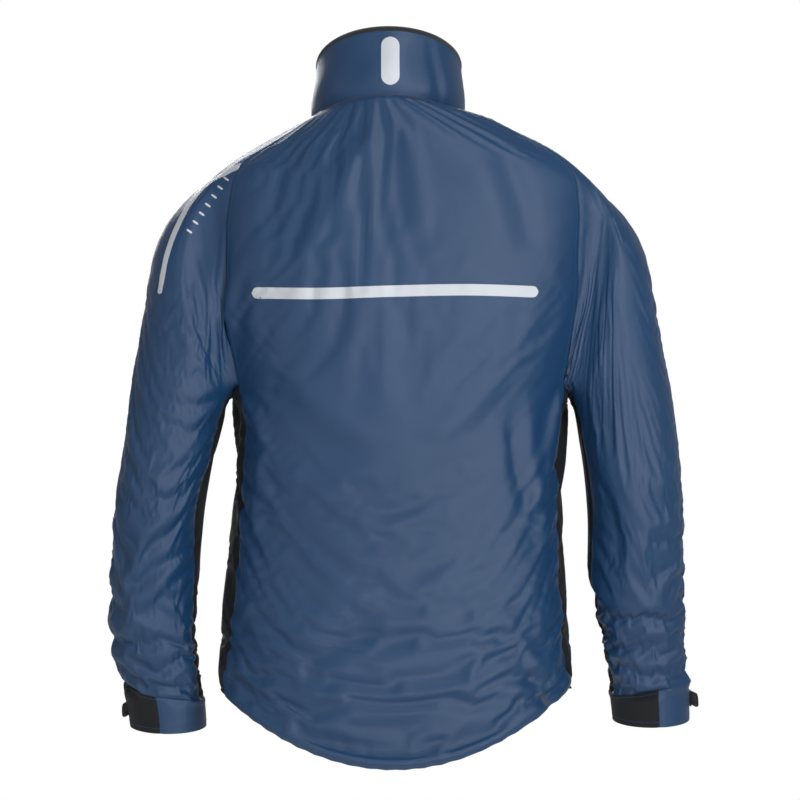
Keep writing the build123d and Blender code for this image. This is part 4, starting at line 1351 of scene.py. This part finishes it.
seam_rows = back_rows >= LOWER_ROWS
lines = [edge_line(back, back_n, 1, end, SEAM_STITCH) for end in ("low", "high")]
lines = [(line[seam_rows], line_n[seam_rows]) for line, line_n in lines]
lines.append(edge_line(back, back_n, 0, "low", HEM_STITCH))
stitch_line("back_stitching", lines, "jacket")
for side in SIDES:
    points, normals = fronts[side]
    lines = [edge_line(points, normals, 0, "low", HEM_STITCH), edge_line(points, normals, 1, "high", ZIP_STITCH)]
    stitch_line(f"{side}_front_stitching", lines, "jacket")
    ends = list(zip(("low", "high"), CUFF_STITCHES))
    lines = [edge_line(*sleeves[side]["cuff", kind], 0, *end) for end in ends for kind in ("out", "in")]
    stitch_line(f"{side}_cuff_stitching", lines, f"{side}_forearm")
lines = [edge_line(collar_s, collar_n, 0, *end) for end in zip(("low", "high"), COLLAR_STITCH)]
stitch_line("collar_stitching", lines, "jacket")

# generic slanted dashes and a thin line on the left shoulder, where the real jacket has its maker's print
s = sleeves["left"]
for number, share in enumerate(np.linspace(0.05, 0.95, 7)):
    x, z = 0.184 + (0.229 - 0.184) * share, -0.075 - (0.139 - 0.075) * share
    obj = ribbon(
        f"shoulder_dash_{number}", s["tree"], [(x - 0.0030, z - 0.0022), (x, z), (x + 0.0030, z + 0.0022)], 0.0022,
        "reflective_film", 8, centre=(0.19, 0, -0.2), wall=0.0003, guide=s["guide"],
    )
    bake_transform(obj)
obj = ribbon(
    "shoulder_line", s["tree"], [(0.154, -0.060), (0.170, -0.067), (0.187, -0.075)], 0.0012, "red_print", 30,
    centre=(0.19, 0, -0.2), wall=0.0003, guide=s["guide"],
)
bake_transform(obj)

# ---------------------------------------------------------------- carried-over CAD pieces
METAL = ["zip_slider", "zip_puller", "zip_top_stops"] + [f"{s}_pocket_{p}" for s in SIDES for p in ("slider", "puller")]
GRIPS = ["zip_grip", "zip_box"] + [f"{s}_pocket_grip" for s in SIDES]
for names, surface in ((METAL, "zip_metal"), (GRIPS, "moulded_grip")):
    for name in names:
        obj = frame["nodes"][name]
        obj.data.materials.clear()
        obj.data.materials.append(MATERIALS[surface])
        edge = obj.modifiers.new("worn_edges", "BEVEL")
        edge.width, edge.segments, edge.limit_method = 0.00018, 2, "ANGLE"

# ---------------------------------------------------------------- camera, light and floor
camera = bpy.data.objects.new("camera", bpy.data.cameras.new("camera"))
camera.data.lens, camera.data.sensor_width, camera.data.clip_end = 325, 36, 40
camera.location = (-0.0055, 8.0, -0.322)
camera.rotation_euler = (math.radians(90), 0, math.radians(180))
bpy.context.scene.collection.objects.link(camera)
bpy.context.scene.camera = camera

world = bpy.data.worlds.new("studio")
world.use_nodes = True
background = world.node_tree.nodes["Background"]
background.inputs["Color"].default_value = (1, 1, 1, 1)
seen = world.node_tree.nodes.new("ShaderNodeLightPath")
level = world.node_tree.nodes.new("ShaderNodeMapRange")
level.inputs["To Min"].default_value, level.inputs["To Max"].default_value = 0.32, 1.0
world.node_tree.links.new(seen.outputs["Is Camera Ray"], level.inputs["Value"])
world.node_tree.links.new(level.outputs["Result"], background.inputs["Strength"])
bpy.context.scene.world = world
bpy.context.scene.view_settings.view_transform = "Standard"


def lamp(name, place, target, size, power, size_y=None):
    """A rectangular lamp that points at a target."""
    data = bpy.data.lights.new(name, "AREA")
    data.energy, data.size, data.shape = power, size, "RECTANGLE"
    data.size_y = size_y or size
    obj = bpy.data.objects.new(name, data)
    obj.location = place
    obj.rotation_euler = (Vector(target) - Vector(place)).to_track_quat("-Z", "Y").to_euler()
    bpy.context.scene.collection.objects.link(obj)


lamp("key", (-1.5, 2.6, 0.8), (0, 0, -0.3), 0.9, 72, size_y=1.3)
lamp("fill", (1.7, 2.4, 0.0), (0, 0, -0.35), 0.7, 15, size_y=1.6)
lamp("front_light", (0.4, -2.4, 0.8), (0, 0, -0.3), 1.6, 40)

FLOOR = -1.7
floor_mesh = bpy.data.meshes.new("floor")
floor_mesh.from_pydata([(-2, -1.2, FLOOR), (2, -1.2, FLOOR), (2, 3, FLOOR), (-2, 3, FLOOR)], [], [[0, 1, 2, 3]])
floor = bpy.data.objects.new("floor", floor_mesh)
floor_mesh.materials.append(material("floor_paint", srgb(250, 250, 250), 0.9, bumps=0.1, vary=0.01))
bpy.context.scene.collection.objects.link(floor)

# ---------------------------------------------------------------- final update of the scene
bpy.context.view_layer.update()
